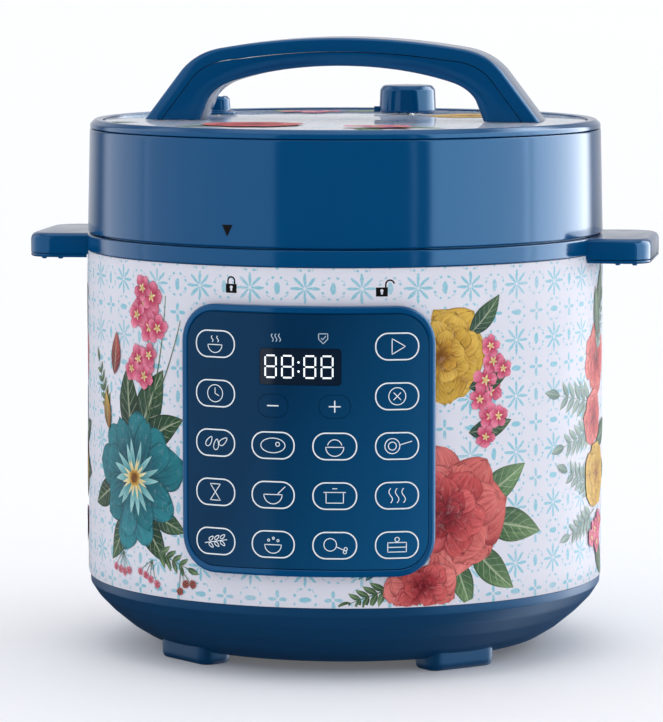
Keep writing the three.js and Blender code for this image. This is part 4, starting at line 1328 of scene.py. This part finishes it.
def teal_group(leaves, flowers, u, v=95):
    """The large teal flower with pink blossoms above it and berries below."""
    rows = ((4, 30, 62, 34), (10, 26, 28, 27), (-2, 32, 96, 30), (-30, -8, 205, 24), (6, -28, -50, 25),
            (-12, -30, 238, 24), (22, -26, -20, 20))
    leaves.foliage((u, v), rows, 0.6, 1.25, DARK_LEAF, 0.46)
    leaves.sprig((u - 24, v + 26), 118, 34, LEAF, 5, 0.24)
    leaves.sprig((u + 14, v - 34), -18, 26, LEAF, 4, 0.3)
    for angle, length in ((78, 66), (92, 72), (66, 58)):
        leaves.stem((u + 10, v + 28), angle, length, LEAF, 0.3)
    for du, dv, angle, count, colours in ((14, -40, 250, 4, PINK), (-10, -38, 262, 4, PINK),
                                          (34, -42, 290, 3, RED)):
        leaves.berries((u + du, v + dv), angle, count, colours)
    leaves.leaf((u - 19, v + 50), 84, 22, RED, 0.42, 0.2)
    leaves.leaf((u - 25, v + 22), 100, 20, YELLOW, 0.4, -0.3)
    flowers.layer = 18
    flowers.cluster((u + 11, v + 83), (11, 14), 7, 9.0)
    flowers.cluster((u + 7, v + 57), (10, 9), 5, 8.0)
    flowers.layer = 20
    flowers.daisy((u, v), 36)


def rose_group(leaves, flowers, u, v=82):
    """The large coral flower with a yellow one above it, and pink blossoms beside them."""
    rows = ((24, 8, 30, 30), (28, -6, -12, 34), (20, -22, -42, 30), (-8, -28, 250, 26), (-30, -18, 214, 24),
            (6, -30, -70, 24))
    leaves.foliage((u, v), rows, 0.7, 1.15, LEAF, 0.44)
    leaves.sprig((u - 26, v - 34), 200, 24, LEAF, 4, 0.34)
    leaves.sprig((u - 30, v - 26), 176, 22, TEAL, 4, 0.34)
    for dv, angle in ((62, 20), (88, 48), (40, 12)):
        leaves.leaf((u + 12, v + dv), angle, 26, DARK_LEAF, 0.4, 0.3)
    flowers.layer = 16
    flowers.cluster((u + 24, v + 60), (9, 27), 9, 7.5)
    flowers.rose((u - 12, v - 34), 20, CORAL, MID_CORAL, DEEP_CORAL)
    flowers.layer = 18
    flowers.rose((u - 3, v + 78), 26, YELLOW, YELLOW, GOLD, 0.22)
    flowers.layer = 20
    flowers.rose((u, v), 34, CORAL, MID_CORAL, DEEP_CORAL, 0.18)


def sprig_group(leaves, flowers, u):
    """Small coral and yellow flowers over grey-green sprigs."""
    for v, angle, length in ((128, 170, 46), (118, 192, 42), (84, 160, 40), (74, 196, 36), (150, 60, 34)):
        leaves.sprig((u, v), angle, length, SPRIG, 5, 0.28)
    for v, angle in ((172, 70), (160, 100), (62, -60), (108, 20), (96, -10)):
        leaves.leaf((u + 4, v), angle, 28, DARK_LEAF, 0.42, 0.3)
    flowers.layer = 14
    flowers.rose((u + 3, 150), 19, CORAL, MID_CORAL, DEEP_CORAL)
    flowers.rose((u - 3, 121), 15, CORAL, MID_CORAL, DEEP_CORAL)
    flowers.rose((u + 2, 92), 18, YELLOW, YELLOW, GOLD, 0.22)
    flowers.cluster((u + 4, 62), (12, 8), 5, 7.0)


leaves, flowers = Print(), Print()
for group, places in ((teal_group, (-101, 330)), (rose_group, (70, -270)), (sprig_group, (187, -190))):
    for u in places:
        leaves.layer = 0
        group(leaves, flowers, u)
piece("sleeve_leaves", leaves.mesh(on_sleeve, sleeve_shows), "base", leaf_paint)
piece("sleeve_flowers", flowers.mesh(on_sleeve, sleeve_shows), "base", petal_paint)

leaves, flowers = Print(), Print()
for u, v, angle in ((60, 62, 40), (66, 48, -20), (-40, 84, 120), (-14, 92, 60), (-50, -64, 220),
                    (20, -84, 300),
                    (34, -70, 340), (-100, -40, 200)):
    leaves.leaf((u, v), angle, 30, LEAF, 0.42, 0.3)
flowers.layer = 10
flowers.rose((58, 56), 24, YELLOW, YELLOW, GOLD, 0.22)
flowers.cluster((-30, 86), (14, 9), 5, 9)
flowers.rose((-38, -62), 26, CORAL, MID_CORAL, DEEP_CORAL)
flowers.cluster((30, -78), (16, 10), 6, 9)
piece("disc_leaves", leaves.mesh(on_disc, disc_shows), "lid", leaf_paint)
piece("disc_flowers", flowers.mesh(on_disc, disc_shows), "lid", petal_paint)

# ---------------------------------------------------------------- the rest of the CAD nodes

CARRIED = {
    steel: ["seal_rack", "lid_plate_bolt", "handle_screw_left", "handle_screw_right",
            "steam_pipe", "anti_block_shield", "valve_weight", "float_pin"],
    silicone: ["float_seal"],
    clear: ["drip_cup"],
    black_plastic: ["bottom_cover", "power_inlet", "display_module"],
    board_green: ["power_board", "control_board"],
}
for paint, nodes in CARRIED.items():
    for node in nodes:
        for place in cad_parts[node].material_slots:
            place.material = paint
